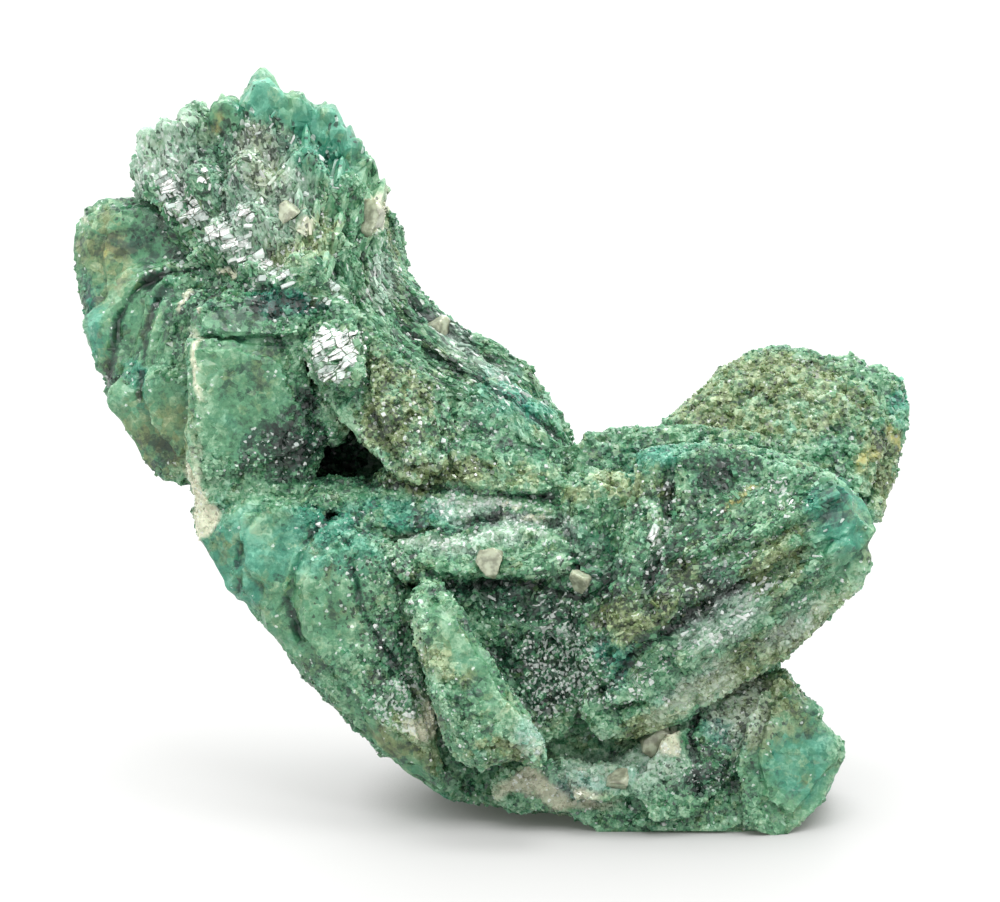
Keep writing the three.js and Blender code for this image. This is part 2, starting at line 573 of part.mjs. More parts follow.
// Turned upright and cut flat where it stands.
const upright = new THREE.Matrix4().makeRotationX(radians(90 - EYE_ELEVATION));
const ground = new THREE.BoxGeometry(100, 100, 20).translate(0, 0, FLOOR - 10);
const cut = solidOf(geometryOf(largestPiece(socketed)).applyMatrix4(upright)).subtract(solidOf(ground));
const { min, max } = cut.boundingBox();
const centred = new THREE.Matrix4().makeTranslation(-(min[0] + max[0]) / 2, -(min[1] + max[1]) / 2, -FLOOR);
const placed = geometryOf(largestPiece(cut)).applyMatrix4(centred);
const clusterGeometry = geometryOf(largestPiece(solidOf(placed, 1e-3)));

const borcarite = new THREE.MeshStandardMaterial({ color: BORCARITE_GREEN, roughness: 0.35, metalness: 0 });
const cahnite = new THREE.MeshStandardMaterial({ color: CAHNITE_GREY, roughness: 0.3, metalness: 0 });

const group = new THREE.Group();
const cluster = new THREE.Mesh(clusterGeometry, borcarite);
cluster.name = "borcarite_cluster";
group.add(cluster);

CAHNITE.forEach((crystal, i) => {
  const tablet = seated(crystal, seats[i], 0).applyMatrix4(upright).applyMatrix4(centred);
  const mesh = new THREE.Mesh(tablet, cahnite);
  mesh.name = `cahnite_crystal_${i + 1}`;
  group.add(mesh);
});

export default group;
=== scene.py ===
"""Cahnite with borcarite: a green crystal cluster with small tan crystals, on a plain white table."""
import math
from itertools import product

import bmesh
import bpy
import numpy as np
from mathutils import Matrix, Vector
from mathutils.bvhtree import BVHTree


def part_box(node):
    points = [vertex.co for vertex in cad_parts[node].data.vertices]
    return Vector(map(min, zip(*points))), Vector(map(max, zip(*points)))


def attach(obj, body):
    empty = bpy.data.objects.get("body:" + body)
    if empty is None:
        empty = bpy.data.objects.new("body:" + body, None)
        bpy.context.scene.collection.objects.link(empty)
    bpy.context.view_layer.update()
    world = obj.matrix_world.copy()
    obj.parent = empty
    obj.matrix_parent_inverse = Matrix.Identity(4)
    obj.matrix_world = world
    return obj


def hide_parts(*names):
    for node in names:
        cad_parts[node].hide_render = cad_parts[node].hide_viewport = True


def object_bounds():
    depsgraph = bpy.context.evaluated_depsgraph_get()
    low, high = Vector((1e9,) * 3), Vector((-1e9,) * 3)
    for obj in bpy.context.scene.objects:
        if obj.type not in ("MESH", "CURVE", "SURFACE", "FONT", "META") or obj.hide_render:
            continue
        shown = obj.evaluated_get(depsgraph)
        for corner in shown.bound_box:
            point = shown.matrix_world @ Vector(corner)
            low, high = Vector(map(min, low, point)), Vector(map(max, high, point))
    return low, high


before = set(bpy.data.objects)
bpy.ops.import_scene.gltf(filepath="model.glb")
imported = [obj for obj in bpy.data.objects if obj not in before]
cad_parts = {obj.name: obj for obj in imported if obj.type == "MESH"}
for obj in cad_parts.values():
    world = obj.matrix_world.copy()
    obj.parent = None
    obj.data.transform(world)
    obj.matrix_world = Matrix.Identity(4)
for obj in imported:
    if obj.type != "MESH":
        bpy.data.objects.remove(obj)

cad_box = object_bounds()

# The specimen as it is looked at: an eye a little above the table, in millimetres.
EYE_ELEVATION = math.radians(14)
MIDDLE_X, MIDDLE_Y, TABLE = 0.017, 3.056, 1.25
ORIGIN_PX, ORIGIN_PY, PIXELS_PER_MM = 491, 832, 20
EYE_DISTANCE = 2000
FRAME_WIDTH = 50
FRAME_CENTRE = (500, 451)
SENSOR = 36
MM = 0.001

# How finely the body is cut, and what stays inside the solid's own box.
CUT = 0.17
MOST_TRIANGLES = 195000
BOX_INSET = 0.01

SIN, COS = math.sin(EYE_ELEVATION), math.cos(EYE_ELEVATION)
TO_SEEN = np.array([[1, 0, 0], [0, SIN, COS], [0, -COS, SIN]])
SHIFT = np.array([MIDDLE_X, MIDDLE_Y, TABLE])


def as_seen(points):
    """Points of the specimen, in mm, as across, up and towards the eye."""
    return (points + SHIFT) @ TO_SEEN.T


def as_stood(points):
    """The way back: the specimen's own place of points as seen."""
    return np.asarray(points) @ TO_SEEN - SHIFT


def across_up(px, py):
    """Where a pixel lies, in mm across and up the view."""
    return (px - ORIGIN_PX) / PIXELS_PER_MM, (ORIGIN_PY - py) / PIXELS_PER_MM


def cos_sin(turn):
    """The cosine and the sine of a turn in degrees."""
    return math.cos(math.radians(turn)), math.sin(math.radians(turn))


def inside_box(points):
    """Points of the specimen, in mm, held within the solid's box."""
    low = np.array(cad_box[0]) / MM + BOX_INSET
    high = np.array(cad_box[1]) / MM - BOX_INSET
    low[2] = 0
    return np.clip(points, low, high)


def along_line(seen, line):
    """Distance along a line and away from it, and the line's direction, for each point."""
    best = np.full(len(seen), 1e9)
    along, line_x, line_y = np.zeros((3, len(seen)))
    start = 0.0
    for (ax, ay), (bx, by) in zip(line, line[1:]):
        length = math.hypot(bx - ax, by - ay)
        t = ((seen[:, 0] - ax) * (bx - ax) + (seen[:, 1] - ay) * (by - ay)) / length**2
        t = np.clip(t, 0, 1)
        distance = np.hypot(seen[:, 0] - ax - t * (bx - ax), seen[:, 1] - ay - t * (by - ay))
        nearer = distance < best
        best = np.where(nearer, distance, best)
        along = np.where(nearer, start + t * length, along)
        line_x = np.where(nearer, (bx - ax) / length, line_x)
        line_y = np.where(nearer, (by - ay) / length, line_y)
        start += length
    return along, best, line_x, line_y


# Noise in a block of stone.

def hashed(cell, seed):
    """A repeatable number from 0 to 1 for each lattice cell."""
    i, j, k = (cell[..., axis].astype(np.int64).astype(np.uint64) for axis in range(3))
    n = i * np.uint64(374761393) + j * np.uint64(668265263) + k * np.uint64(2147483647)
    n = (n + np.uint64(seed * 974634777)) & np.uint64(0xFFFFFFFF)
    for shift in (13, 16, 11):
        n = ((n ^ (n >> np.uint64(shift))) * np.uint64(1274126177)) & np.uint64(0xFFFFFFFF)
    return (n ^ (n >> np.uint64(15))).astype(np.float64) / 4294967296.0


def grain(points, size, seed=0):
    """Soft noise from -1 to 1 with lumps of about the given size."""
    q = points / size
    base = np.floor(q)
    f = q - base
    f = f * f * (3 - 2 * f)
    total = 0.0
    for step in product((0, 1), repeat=3):
        x, y, z = (f[:, axis] if step[axis] else 1 - f[:, axis] for axis in range(3))
        total = total + x * y * z * hashed(base + np.array(step), seed)
    return 2 * total - 1


def wandering(points, size, seed):
    """Soft noise of its own along each of the three axes."""
    return np.stack([grain(points, size, seed + axis) for axis in range(3)], 1)


def rough(points, size, seed=0, octaves=3):
    """Soft noise with finer and finer noise on it."""
    total, scale = 0.0, 1.0
    for octave in range(octaves):
        total = total + scale * grain(points, size * 0.5**octave, seed + 17 * octave)
        scale *= 0.5
    return total / 1.6


FACET_TILT, FACET_LIFT = 1.4, 0.5


def facets(points, size, seed=0):
    """The height of tilted flat facets, one to a crystal grain."""
    q = points / size
    base = np.floor(q)
    nearest = np.full(len(points), 9.0)
    height = np.zeros(len(points))
    for step in product((-1, 0, 1), repeat=3):
        cell = base + np.array(step)
        jitter = np.stack([hashed(cell, seed + s) for s in (1, 2, 3)], 1)
        away = q - cell - jitter
        distance = (away**2).sum(1)
        tilt = np.stack([hashed(cell, seed + s) for s in (4, 5, 6)], 1) * 2 - 1
        here = distance < nearest
        nearest = np.where(here, distance, nearest)
        lift = (away * tilt).sum(1) * FACET_TILT + FACET_LIFT * (hashed(cell, seed + 7) * 2 - 1)
        height = np.where(here, lift, height)
    return height


def smooth_step(low, high, value):
    """0 at low, 1 at high, with a soft start and end."""
    t = np.clip((value - low) / (high - low), 0, 1)
    return t * t * (3 - 2 * t)


# The body's mesh.

def read(items, name, width, kind):
    """One value, or one row of values, for each of a mesh's items."""
    flat = np.empty(len(items) * width, kind)
    items.foreach_get(name, flat)
    return flat.reshape(-1, width)


def points_of(mesh):
    return read(mesh.vertices, "co", 3, np.float32).astype(np.float64)


def put_points(mesh, points):
    mesh.vertices.foreach_set("co", points.astype(np.float32).ravel())
    mesh.update()


def normals_of(mesh):
    return read(mesh.vertex_normals, "vector", 3, np.float32).astype(np.float64)


def edges_of(mesh):
    return read(mesh.edges, "vertices", 2, np.int32)


def averaged(values, edges, rounds):
    """Each value moved to the mean of its neighbours, again and again."""
    count = np.bincount(edges.ravel(), minlength=len(values))[:, None]
    for _ in range(rounds):
        total = np.empty_like(values)
        for column in range(values.shape[1]):
            total[:, column] = np.bincount(
                edges[:, 0], values[edges[:, 1], column], len(values)
            ) + np.bincount(edges[:, 1], values[edges[:, 0], column], len(values))
        values = 0.5 * values + 0.5 * total / np.maximum(count, 1)
    return values


def with_modifier(mesh, kind, **settings):
    """The mesh that a modifier makes of another."""
    piece = bpy.data.objects.new("work", mesh)
    bpy.context.scene.collection.objects.link(piece)
    modifier = piece.modifiers.new(kind, kind)
    for name, value in settings.items():
        setattr(modifier, name, value)
    depsgraph = bpy.context.evaluated_depsgraph_get()
    done = bpy.data.meshes.new_from_object(piece.evaluated_get(depsgraph))
    bpy.data.objects.remove(piece)
    return done


def cut_fine(mesh, size):
    """A mesh that is even and fine, in mm."""
    return with_modifier(mesh, "REMESH", mode="VOXEL", voxel_size=size)


def solid_of(node):
    """The CAD solid's mesh, in mm."""
    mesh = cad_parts[node].data.copy()
    mesh.transform(Matrix.Scale(1 / MM, 4))
    return mesh


# Growths that fill the body's gaps: middle in pixels and depth in mm,
# half sizes across, up and deep in mm, and turn in degrees.
SWELLINGS = [
    (298, 452, 3.3, 1.2, 1.7, 1.6, -15),
    (325, 414, 3.7, 0.9, 1.7, 1.5, 25),
    (342, 488, 3.7, 2.5, 0.6, 1.3, 0),
    (412, 482, 4.4, 2.1, 0.8, 1.6, 0),
    (292, 347, 4.1, 1.8, 0.5, 1.3, 0),
    (685, 622, 8.1, 3.9, 0.85, 1.35, 38),
    (745, 630, 7.5, 3.8, 0.8, 1.2, 38),
    (405, 528, 5.0, 2.6, 0.55, 1.2, 2),
    (540, 524, 5.0, 1.7, 0.45, 1.1, 0),
    (322, 505, 4.9, 1.0, 0.6, 1.2, 0),
]

# Blunt crystals of the crest's left rim: foot, tip and half a width in pixels, and depth in mm.
FINGERS = [
    (142, 196, 137, 158, 6, -1.2), (153, 198, 147, 127, 12, -0.3), (171, 194, 164, 117, 8, -0.2),
    (194, 188, 184, 110, 13, 0.1), (199, 160, 191, 103, 9, -0.7),
]
FINGER_THICK, FINGER_SUNK = 0.6, 0.2
FINGER_PROFILE = [(0, 0.8), (0.3, 0.9), (0.7, 1.0), (0.88, 0.85), (0.96, 0.6), (1, 0.3)]


def ball():
    """Points and faces of a ball."""
    made = bmesh.new()
    bmesh.ops.create_icosphere(made, subdivisions=3, radius=1)
    points = np.array([tuple(corner.co) for corner in made.verts])
    faces = [tuple(corner.index for corner in face.verts) for face in made.faces]
    made.free()
    return points, faces


def swollen(mesh):
    """The mesh with the swellings and fingers, overlapping, in mm."""
    round_points, round_faces = ball()
    points, faces = [points_of(mesh)], [tuple(face.vertices) for face in mesh.polygons]
    for px, py, depth, across, up, deep, turn in SWELLINGS:
        c, s = cos_sin(turn)
        x, y, z = (round_points * (across, up, deep)).T
        placed = np.stack([x * c - y * s, x * s + y * c, z], 1) + (*across_up(px, py), depth)
        start = sum(map(len, points))
        points.append(as_stood(placed))
        faces.extend(tuple(start + corner for corner in face) for face in round_faces)
    rng = np.random.default_rng(21)
    for foot_px, foot_py, tip_px, tip_py, half, depth in FINGERS:
        foot = (*across_up(foot_px, foot_py), depth + FINGER_SUNK)
        tip = (*across_up(tip_px, tip_py), depth)
        finger = blade_points(foot, tip, half / PIXELS_PER_MM, FINGER_THICK, rng, FINGER_PROFILE)
        faces.extend(blade_faces(sum(map(len, points)), len(finger)))
        points.append(as_stood(np.array(finger)))
    joined = bpy.data.meshes.new("swollen")
    joined.from_pydata(np.concatenate(points).tolist(), [], faces)
    return joined


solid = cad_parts["borcarite_cluster"].data
solid_points = points_of(solid) / MM
solid_tree = BVHTree.FromPolygons(
    [Vector(p) for p in as_seen(solid_points)], [tuple(f.vertices) for f in solid.polygons]
)
FAR = 60


def looked_at(x, y):
    """Where a line of sight meets the body, or nothing."""
    return solid_tree.ray_cast(Vector((x, y, FAR)), Vector((0, 0, -1)))[0]


def on_surface(px, py):
    """Where the line of sight through a pixel meets the body."""
    x, y = across_up(px, py)
    hit = looked_at(x, y)
    return np.array(hit if hit else (x, y, 0))


FRONT_STEP = 0.25
HIDDEN_FROM, HIDDEN_BY = 1.2, 2.8
front_low, front_high = (edge(as_seen(solid_points)[:, :2], axis=0) for edge in (np.min, np.max))
front_size = np.ceil((front_high - front_low) / FRONT_STEP).astype(int) + 1


def front_depth(i, j):
    hit = looked_at(*(front_low + np.array([i, j]) * FRONT_STEP))
    return hit[2] if hit else -FAR


FRONT = np.array([[front_depth(i, j) for j in range(front_size[1])] for i in range(front_size[0])])


def unseen(seen):
    """0 where the eye sees the body, 1 well behind what it sees."""
    cell = np.rint((seen[:, :2] - front_low) / FRONT_STEP).astype(int)
    i, j = np.clip(cell, 0, front_size - 1).T
    return smooth_step(HIDDEN_FROM, HIDDEN_BY, FRONT[i, j] - seen[:, 2])


SPOT_EDGE, SPOT_FULL = 1.25, 0.55
LEAST_DEPTH = 40


def region(seen, spots, reach=1.3):
    """How far each point lies within any of the spots.

    A spot is px, py, half width and half height in pixels, and a turn in degrees.
    """
    inside = np.zeros(len(seen))
    for px, py, rx, ry, turn in spots:
        centre = on_surface(px, py)
        away = seen - centre
        c, s = cos_sin(turn)
        u = (away[:, 0] * c + away[:, 1] * s) * PIXELS_PER_MM / rx
        v = (away[:, 1] * c - away[:, 0] * s) * PIXELS_PER_MM / ry
        w = away[:, 2] * PIXELS_PER_MM / (reach * max(rx, ry, LEAST_DEPTH))
        inside = np.maximum(inside, smooth_step(SPOT_EDGE, SPOT_FULL, np.sqrt(u * u + v * v + w * w)))
    return inside


# Cleavage patches, painted with white plates as glints of reflected light: the patch's middle and half
# sizes in pixels, its turn, and the turn of its plates.
CLEAVAGE = [
    (331, 355, 36, 27, 62, 24), (322, 302, 12, 6, 20, 30), (338, 290, 6, 14, 35, 50),
    (203, 177, 12, 8, 20, 22), (165, 184, 19, 14, -60, 30), (189, 212, 22, 17, -40, 26),
    (216, 230, 22, 16, -40, 24), (242, 248, 24, 15, -38, 18), (273, 271, 30, 12, -18, 8),
    (240, 212, 20, 14, -40, 24), (652, 532, 5, 20, -6, 75),
]
CLEAVAGE_SLANT = 27
# The first of them are whole patches, and the others are broken up.
WHOLE = 4
BROKEN = 0.75
MOSAIC = [(px, py, rx * 1.05, ry * 1.1, turn) for px, py, rx, ry, turn, slant in CLEAVAGE]

# Where the body is smooth, fanned, cleaved or ribbed: middle and half sizes in pixels, and turn.
SMOOTH = [
    (120, 250, 60, 55, 0), (130, 320, 60, 60, 40), (234, 388, 58, 68, 0), (150, 420, 50, 60, 60),
    (250, 560, 55, 65, -45), (310, 620, 50, 80, -45), (800, 765, 55, 70, 0),
    (850, 520, 40, 60, 0), (262, 85, 25, 30, 0), (325, 120, 25, 30, 0), (292, 110, 18, 26, 0),
    (350, 145, 16, 30, 20), (222, 110, 16, 20, 0), (232, 322, 42, 14, 0), (470, 660, 80, 15, -54),
    (396, 752, 84, 13, -48),
]
CREST_FAN = [(250, 180, 120, 110, 0), (180, 170, 60, 60, 0), (340, 180, 60, 90, 0)]
CREST_FOCUS_PIXEL = (299, 392)
CREST_FOCUS = across_up(*CREST_FOCUS_PIXEL)
RIDGE_LINE = [across_up(*p) for p in [(372, 176), (388, 222), (400, 262), (425, 301), (460, 328),
                                      (500, 348), (540, 378), (574, 434)]]
RIDGE_SIDE = [
    (400, 300, 50, 60, -60), (470, 360, 90, 45, -35), (350, 230, 45, 80, 0), (540, 410, 50, 40, -50),
]
CLEAVED = [
    (175, 190, 40, 22, -45), (215, 240, 45, 24, -45), (275, 272, 40, 14, -15), (335, 350, 30, 42, -10),
    (325, 303, 14, 9, 20), (340, 292, 12, 14, -30), (200, 205, 40, 20, -50), (380, 330, 25, 12, -40),
]
RIBBED = [(740, 570, 150, 80, 35), (600, 600, 50, 140, 80), (700, 640, 90, 30, 35)]

# Folds that run between the lobes, and edges that stand out: half width and depth in mm, then pixels. The
# folds are also painted darker as shade, and the edges lighter as painted highlight.
FOLDS = [
    (0.22, 0.30, [(332, 514), (306, 540), (292, 575), (290, 605), (300, 640)]),
    (0.15, 0.16, [(268, 502), (246, 528), (238, 560), (240, 590)]),
    (0.26, 0.28, [(748, 580), (706, 604), (672, 628), (640, 652), (602, 690)]),
    (0.28, 0.28, [(668, 470), (668, 505), (660, 545), (648, 580)]),
    (0.20, 0.20, [(270, 480), (350, 481), (430, 488), (552, 498)]),
    (0.20, 0.25, [(206, 268), (165, 272), (132, 292), (117, 325), (112, 380)]),
    (0.15, 0.18, [(158, 300), (148, 330), (140, 372), (138, 400)]),
    (0.20, 0.25, [(396, 322), (430, 352), (470, 374), (520, 402), (556, 436)]),
    (0.18, 0.25, [(455, 520), (500, 517), (556, 524)]),
    (0.15, 0.15, [(560, 520), (575, 560), (590, 600)]),
    (0.18, 0.20, [(700, 705), (690, 740), (700, 790)]),
    (0.16, 0.18, [(352, 560), (362, 610), (392, 660), (420, 700)]),
    (0.18, 0.15, [(430, 590), (520, 580), (585, 600)]),
    (0.08, 0.08, [(309, 395), (293, 420), (281, 447)]),
    (0.07, 0.07, [(297, 398), (284, 418)]),
]
EDGES = [
    (0.16, 0.16, [(428, 501), (480, 499), (520, 505), (552, 513)]),
    (0.18, 0.18, [(384, 549), (430, 536), (480, 531), (540, 534), (572, 546)]),
    (0.12, 0.08, [(303, 348), (311, 380), (330, 415), (356, 441), (390, 467)]),
    (0.14, 0.08, [(80, 226), (98, 205), (130, 198), (165, 206), (196, 226)]),
    (0.14, 0.10, [(124, 304), (138, 276), (168, 264), (202, 267)]),
    (0.14, 0.10, [(168, 292), (156, 318), (150, 350)]),
    (0.14, 0.08, [(411, 617), (426, 660), (442, 702), (462, 742)]),
    (0.12, 0.10, [(302, 548), (322, 530), (352, 520)]),
    (0.07, 0.05, [(206, 393), (213, 380), (232, 366)]),
]
LINE_DEPTH = 1.5


def near_lines(seen, lines, flat=False):
    """How deep each point lies in any of the lines, in mm, or from 0 to 1 if flat."""
    most = np.zeros(len(seen))
    for width, depth, pixels in lines:
        ends = [on_surface(*p) for p in pixels]
        _, off, _, _ = along_line(seen, [(end[0], end[1]) for end in ends])
        middle = np.mean(ends, axis=0)
        reach = LINE_DEPTH + np.ptp(np.array(ends)[:, 2])
        near = smooth_step(reach + 1, reach, np.abs(seen[:, 2] - middle[2]))
        strength = np.exp(-((off / width) ** 2)) * near
        most = np.maximum(most, strength * (1 if flat else depth))
    return most


# Where the body stands further out or in than its solid: the spot in pixels, and how far in mm.
SHIFTS = [
    ((393, 232, 14, 50, 0), -0.4), ((100, 355, 24, 60, 15), 0.45), ((398, 270, 16, 40, 20), -0.3),
    ((874, 535, 16, 40, 0), 0.35), ((235, 590, 14, 60, -40), 0.2),
]

RIB_COS, RIB_SIN = cos_sin(33)


def flow_of(seen):
    """The way the crystals run: coordinates drawn out along it, and its direction across and up."""
    x, y = seen[:, 0] - CREST_FOCUS[0], seen[:, 1] - CREST_FOCUS[1]
    reach = np.hypot(x, y) + 1e-6
    along, off, line_x, line_y = along_line(seen, RIDGE_LINE)
    u = seen[:, 0] * RIB_COS + seen[:, 1] * RIB_SIN
    v = seen[:, 1] * RIB_COS - seen[:, 0] * RIB_SIN
    drawn = seen.copy()
    way = np.zeros((len(seen), 2))
    ribbed = region(seen, RIBBED) > 0.5
    drawn[ribbed] = np.stack([v, u * 0.65, seen[:, 2]], 1)[ribbed]
    way[ribbed] = 0.4 * np.array([RIB_COS, RIB_SIN])
    side = region(seen, RIDGE_SIDE) > 0.5
    drawn[side] = np.stack([off + 40, along * 0.33, seen[:, 2]], 1)[side]
    way[side] = np.stack([line_x, line_y], 1)[side]
    fan = region(seen, CREST_FAN) > 0.5
    drawn[fan] = np.stack([np.arctan2(x, y) * 10 + 80, reach * 0.5, seen[:, 2]], 1)[fan]
    way[fan] = 0.7 * np.stack([x / reach, y / reach], 1)[fan]
    return drawn, way


# The body's relief, each as how far it rises and how large it is, in mm.
LUMP = 0.10, 2.6
FACET = 0.10, 0.8
SMALL_FACET = 0.07, 0.4
DIMPLE = 0.05, 0.9
TERRACE = 0.09, 2.4
SHEET = 0.10, 0.42
GROOVE = 0.22, 0.9
FINE_GROOVE = 0.10, 0.45
CLEAVAGE_STEP = 0.16, 0.42
# Behind, where the eye doesn't reach.
BACK_LUMP = 0.3, 3.6
BACK_FACET = 0.16, 2.4
BACK_SMOOTHING = 0.85
FOOT = 0.05, 0.6


def body_relief(points, normals, seen):
    """How far each point of the body rises, in mm."""
    facing = normals @ TO_SEEN.T
    sideways = 1 - np.abs(facing[:, 2])
    smooth = region(seen, SMOOTH)
    drawn, way = flow_of(seen)
    flowing = np.hypot(way[:, 0], way[:, 1])
    height = LUMP[0] * rough(points, LUMP[1], 3)
    big = facets(drawn, FACET[1], 11)
    small = facets(drawn, SMALL_FACET[1], 23)
    height += (1 - 0.8 * smooth) * (FACET[0] * big + SMALL_FACET[0] * small)
    height += DIMPLE[0] * grain(points, DIMPLE[1], 5) * smooth
    # growth terraces on the smooth plates
    terrace = 2.2 * rough(seen * np.array([1, 1, 2.5]), TERRACE[1], 31, 2)
    riser = smooth_step(0.75, 1.0, terrace - np.floor(terrace))
    height += TERRACE[0] * (np.floor(terrace) + riser) * smooth
    # sheets on the sides of the plates
    sheet = seen[:, 2] / SHEET[1] + 0.9 * grain(points, 2.0, 41)
    height += SHEET[0] * np.abs((sheet % 1) * 2 - 1) * smooth_step(0.35, 0.8, sideways)
    # grooves between crystals that run side by side
    groove = np.abs(grain(drawn * np.array([1.6, 0.5, 0.6]), GROOVE[1], 51))
    fine = np.abs(grain(drawn * np.array([2.0, 0.5, 0.8]), FINE_GROOVE[1], 53))
    height += flowing * (GROOVE[0] * groove + FINE_GROOVE[0] * fine - 0.1)
    # steps of the cleaved faces, all tilted one way
    cleaved = region(seen, CLEAVED)
    step = (seen[:, 0] * 0.5 + seen[:, 1] * 0.86) / CLEAVAGE_STEP[1] + 0.5 * grain(points, 0.8, 81)
    height = height * (1 - 0.6 * cleaved) + cleaved * CLEAVAGE_STEP[0] * (step % 1)
    bent = seen + 0.12 * np.stack([grain(points, 0.7, 97), grain(points, 0.7, 98), 0 * height], 1)
    height += near_lines(bent, EDGES) - near_lines(bent, FOLDS)
    # broad uneven faces where the eye doesn't reach
    broad = facets(points, BACK_FACET[1], 131)
    height += unseen(seen) * (BACK_LUMP[0] * rough(points, BACK_LUMP[1], 133) + BACK_FACET[0] * broad)
    for spot, rise in SHIFTS:
        height += rise * region(seen, [spot])
    # nothing rises where the body stands
    return height * smooth_step(*FOOT, points[:, 2])


def grow_body():
    """The cluster's solid, cut fine and given its relief, in mm."""
    mesh = cut_fine(swollen(solid_of("borcarite_cluster")), CUT)
    points = points_of(mesh)
    edges = edges_of(mesh)
    normals = averaged(normals_of(mesh), edges, 3)
    normals /= np.linalg.norm(normals, axis=1)[:, None] + 1e-9
    seen = as_seen(points)
    rounded = averaged(points, edges, 40)
    points = points + normals * body_relief(points, normals, seen)[:, None]
    points += (rounded - points_of(mesh)) * (BACK_SMOOTHING * unseen(seen))[:, None]
    put_points(mesh, inside_box(points))
    triangles = 2 * len(mesh.polygons)
    if triangles > MOST_TRIANGLES:
        share = MOST_TRIANGLES / triangles
        mesh = with_modifier(mesh, "DECIMATE", ratio=share, use_collapse_triangulate=True)
        put_points(mesh, inside_box(points_of(mesh)))
    return mesh


# Where each colour and texture lies, and where light and shade are painted: middle and half sizes in
# pixels, and turn.
OLIVE = [
    (690, 700, 90, 18, 33), (300, 245, 40, 30, 0),
    (770, 400, 110, 50, 0), (395, 410, 50, 50, -30), (258, 160, 30, 36, 0),
    (470, 470, 90, 20, 0), (750, 710, 50, 50, 0), (790, 640, 90, 30, 35), (110, 250, 30, 50, 0),
    (420, 740, 40, 40, 0), (160, 440, 40, 50, 50), (640, 610, 70, 30, 35), (770, 560, 40, 26, 35),
    (440, 660, 20, 50, 70), (500, 755, 40, 14, 0), (880, 470, 25, 60, 0), (620, 490, 60, 20, 0),
]
TEAL = [
    (262, 85, 30, 40, 0), (325, 130, 40, 50, 0), (290, 305, 40, 14, 0), (240, 560, 60, 60, 0),
    (320, 540, 60, 40, 0), (510, 385, 60, 30, -35), (400, 510, 60, 20, 0), (845, 520, 40, 45, 0),
    (600, 780, 45, 18, 0), (620, 660, 34, 26, 0), (528, 740, 22, 26, 0), (640, 450, 60, 30, 0),
    (715, 740, 14, 18, 0), (905, 400, 12, 40, 0), (810, 760, 40, 50, 0), (95, 320, 16, 50, 20),
    (300, 700, 40, 30, -45), (130, 380, 14, 30, 20), (430, 800, 60, 20, -20),
]
# Paler stone, and partly painted light on the tops of the ledges and on shaded undersides.
PALE = [
    (525, 736, 14, 14, 0), (740, 720, 24, 26, 0), (470, 362, 60, 12, -30),
    (163, 146, 44, 36, 0), (262, 200, 24, 50, 0), (620, 770, 60, 22, 0),
    (440, 640, 26, 60, 70), (500, 720, 24, 30, 60), (350, 425, 14, 50, 52), (192, 430, 8, 90, 0),
    (620, 482, 30, 10, 0), (480, 536, 100, 9, 3), (490, 502, 60, 8, 0), (700, 700, 80, 14, 33),
    (830, 610, 60, 16, 42), (135, 262, 60, 8, 10), (115, 215, 40, 10, 10),
    (430, 610, 30, 12, 10), (245, 520, 40, 30, 0), (655, 530, 8, 30, 0),
    (590, 745, 60, 20, 0), (300, 560, 20, 30, 0),
]
CREAM = [
    (202, 512, 12, 56, 0), (545, 793, 56, 14, -8), (590, 765, 18, 6, 0), (664, 746, 15, 11, 0),
    (190, 360, 5, 40, 0), (425, 720, 16, 20, -40), (384, 215, 8, 24, 0), (298, 222, 10, 8, 0),
    (520, 509, 8, 4, 0), (541, 527, 8, 4, 0), (505, 503, 5, 3, 0),
    (80, 213, 8, 8, 0), (227, 282, 10, 6, -10), (189, 303, 5, 12, 0),
]
RUST = [
    (866, 465, 14, 9, 40), (889, 436, 7, 10, 0), (742, 498, 16, 5, 20), (222, 128, 4, 14, 0),
    (604, 610, 5, 6, 0), (114, 252, 7, 5, 0),
]
# Darker stone, and partly painted shade in the hollows, pits and under overhangs.
DARK = [
    (345, 455, 34, 20, 0), (545, 650, 42, 72, 0), (500, 600, 50, 24, 0), (385, 650, 24, 50, -10),
    (600, 570, 30, 50, 0), (150, 450, 24, 30, 40), (690, 605, 70, 12, 38), (715, 785, 34, 16, 0),
    (440, 320, 50, 18, -35), (288, 306, 40, 12, 0), (270, 288, 40, 8, -10),
    (655, 580, 20, 40, 0), (300, 435, 30, 50, 0), (470, 520, 70, 5, 0), (165, 300, 10, 60, 20),
    (420, 640, 8, 60, -20),
    (500, 430, 60, 10, -20), (640, 740, 60, 8, 30), (720, 470, 50, 12, 0), (500, 665, 20, 30, 0),
]
# Where painted glints crowd: white flecks that stand in for light reflected off small faces.
GLINT_PATCHES = [
    (175, 190, 40, 18, -45), (215, 240, 45, 18, -45), (275, 272, 40, 12, -15), (335, 350, 28, 30, -10),
    (155, 165, 30, 30, 0),
    (560, 660, 50, 60, 0), (700, 640, 40, 14, 35), (785, 488, 20, 24, 0), (750, 590, 30, 10, 35),
    (470, 360, 50, 6, -30), (655, 530, 6, 30, 0), (402, 708, 24, 34, -40), (490, 503, 60, 8, 0),
    (480, 536, 90, 7, 0), (640, 690, 30, 10, 35),
]
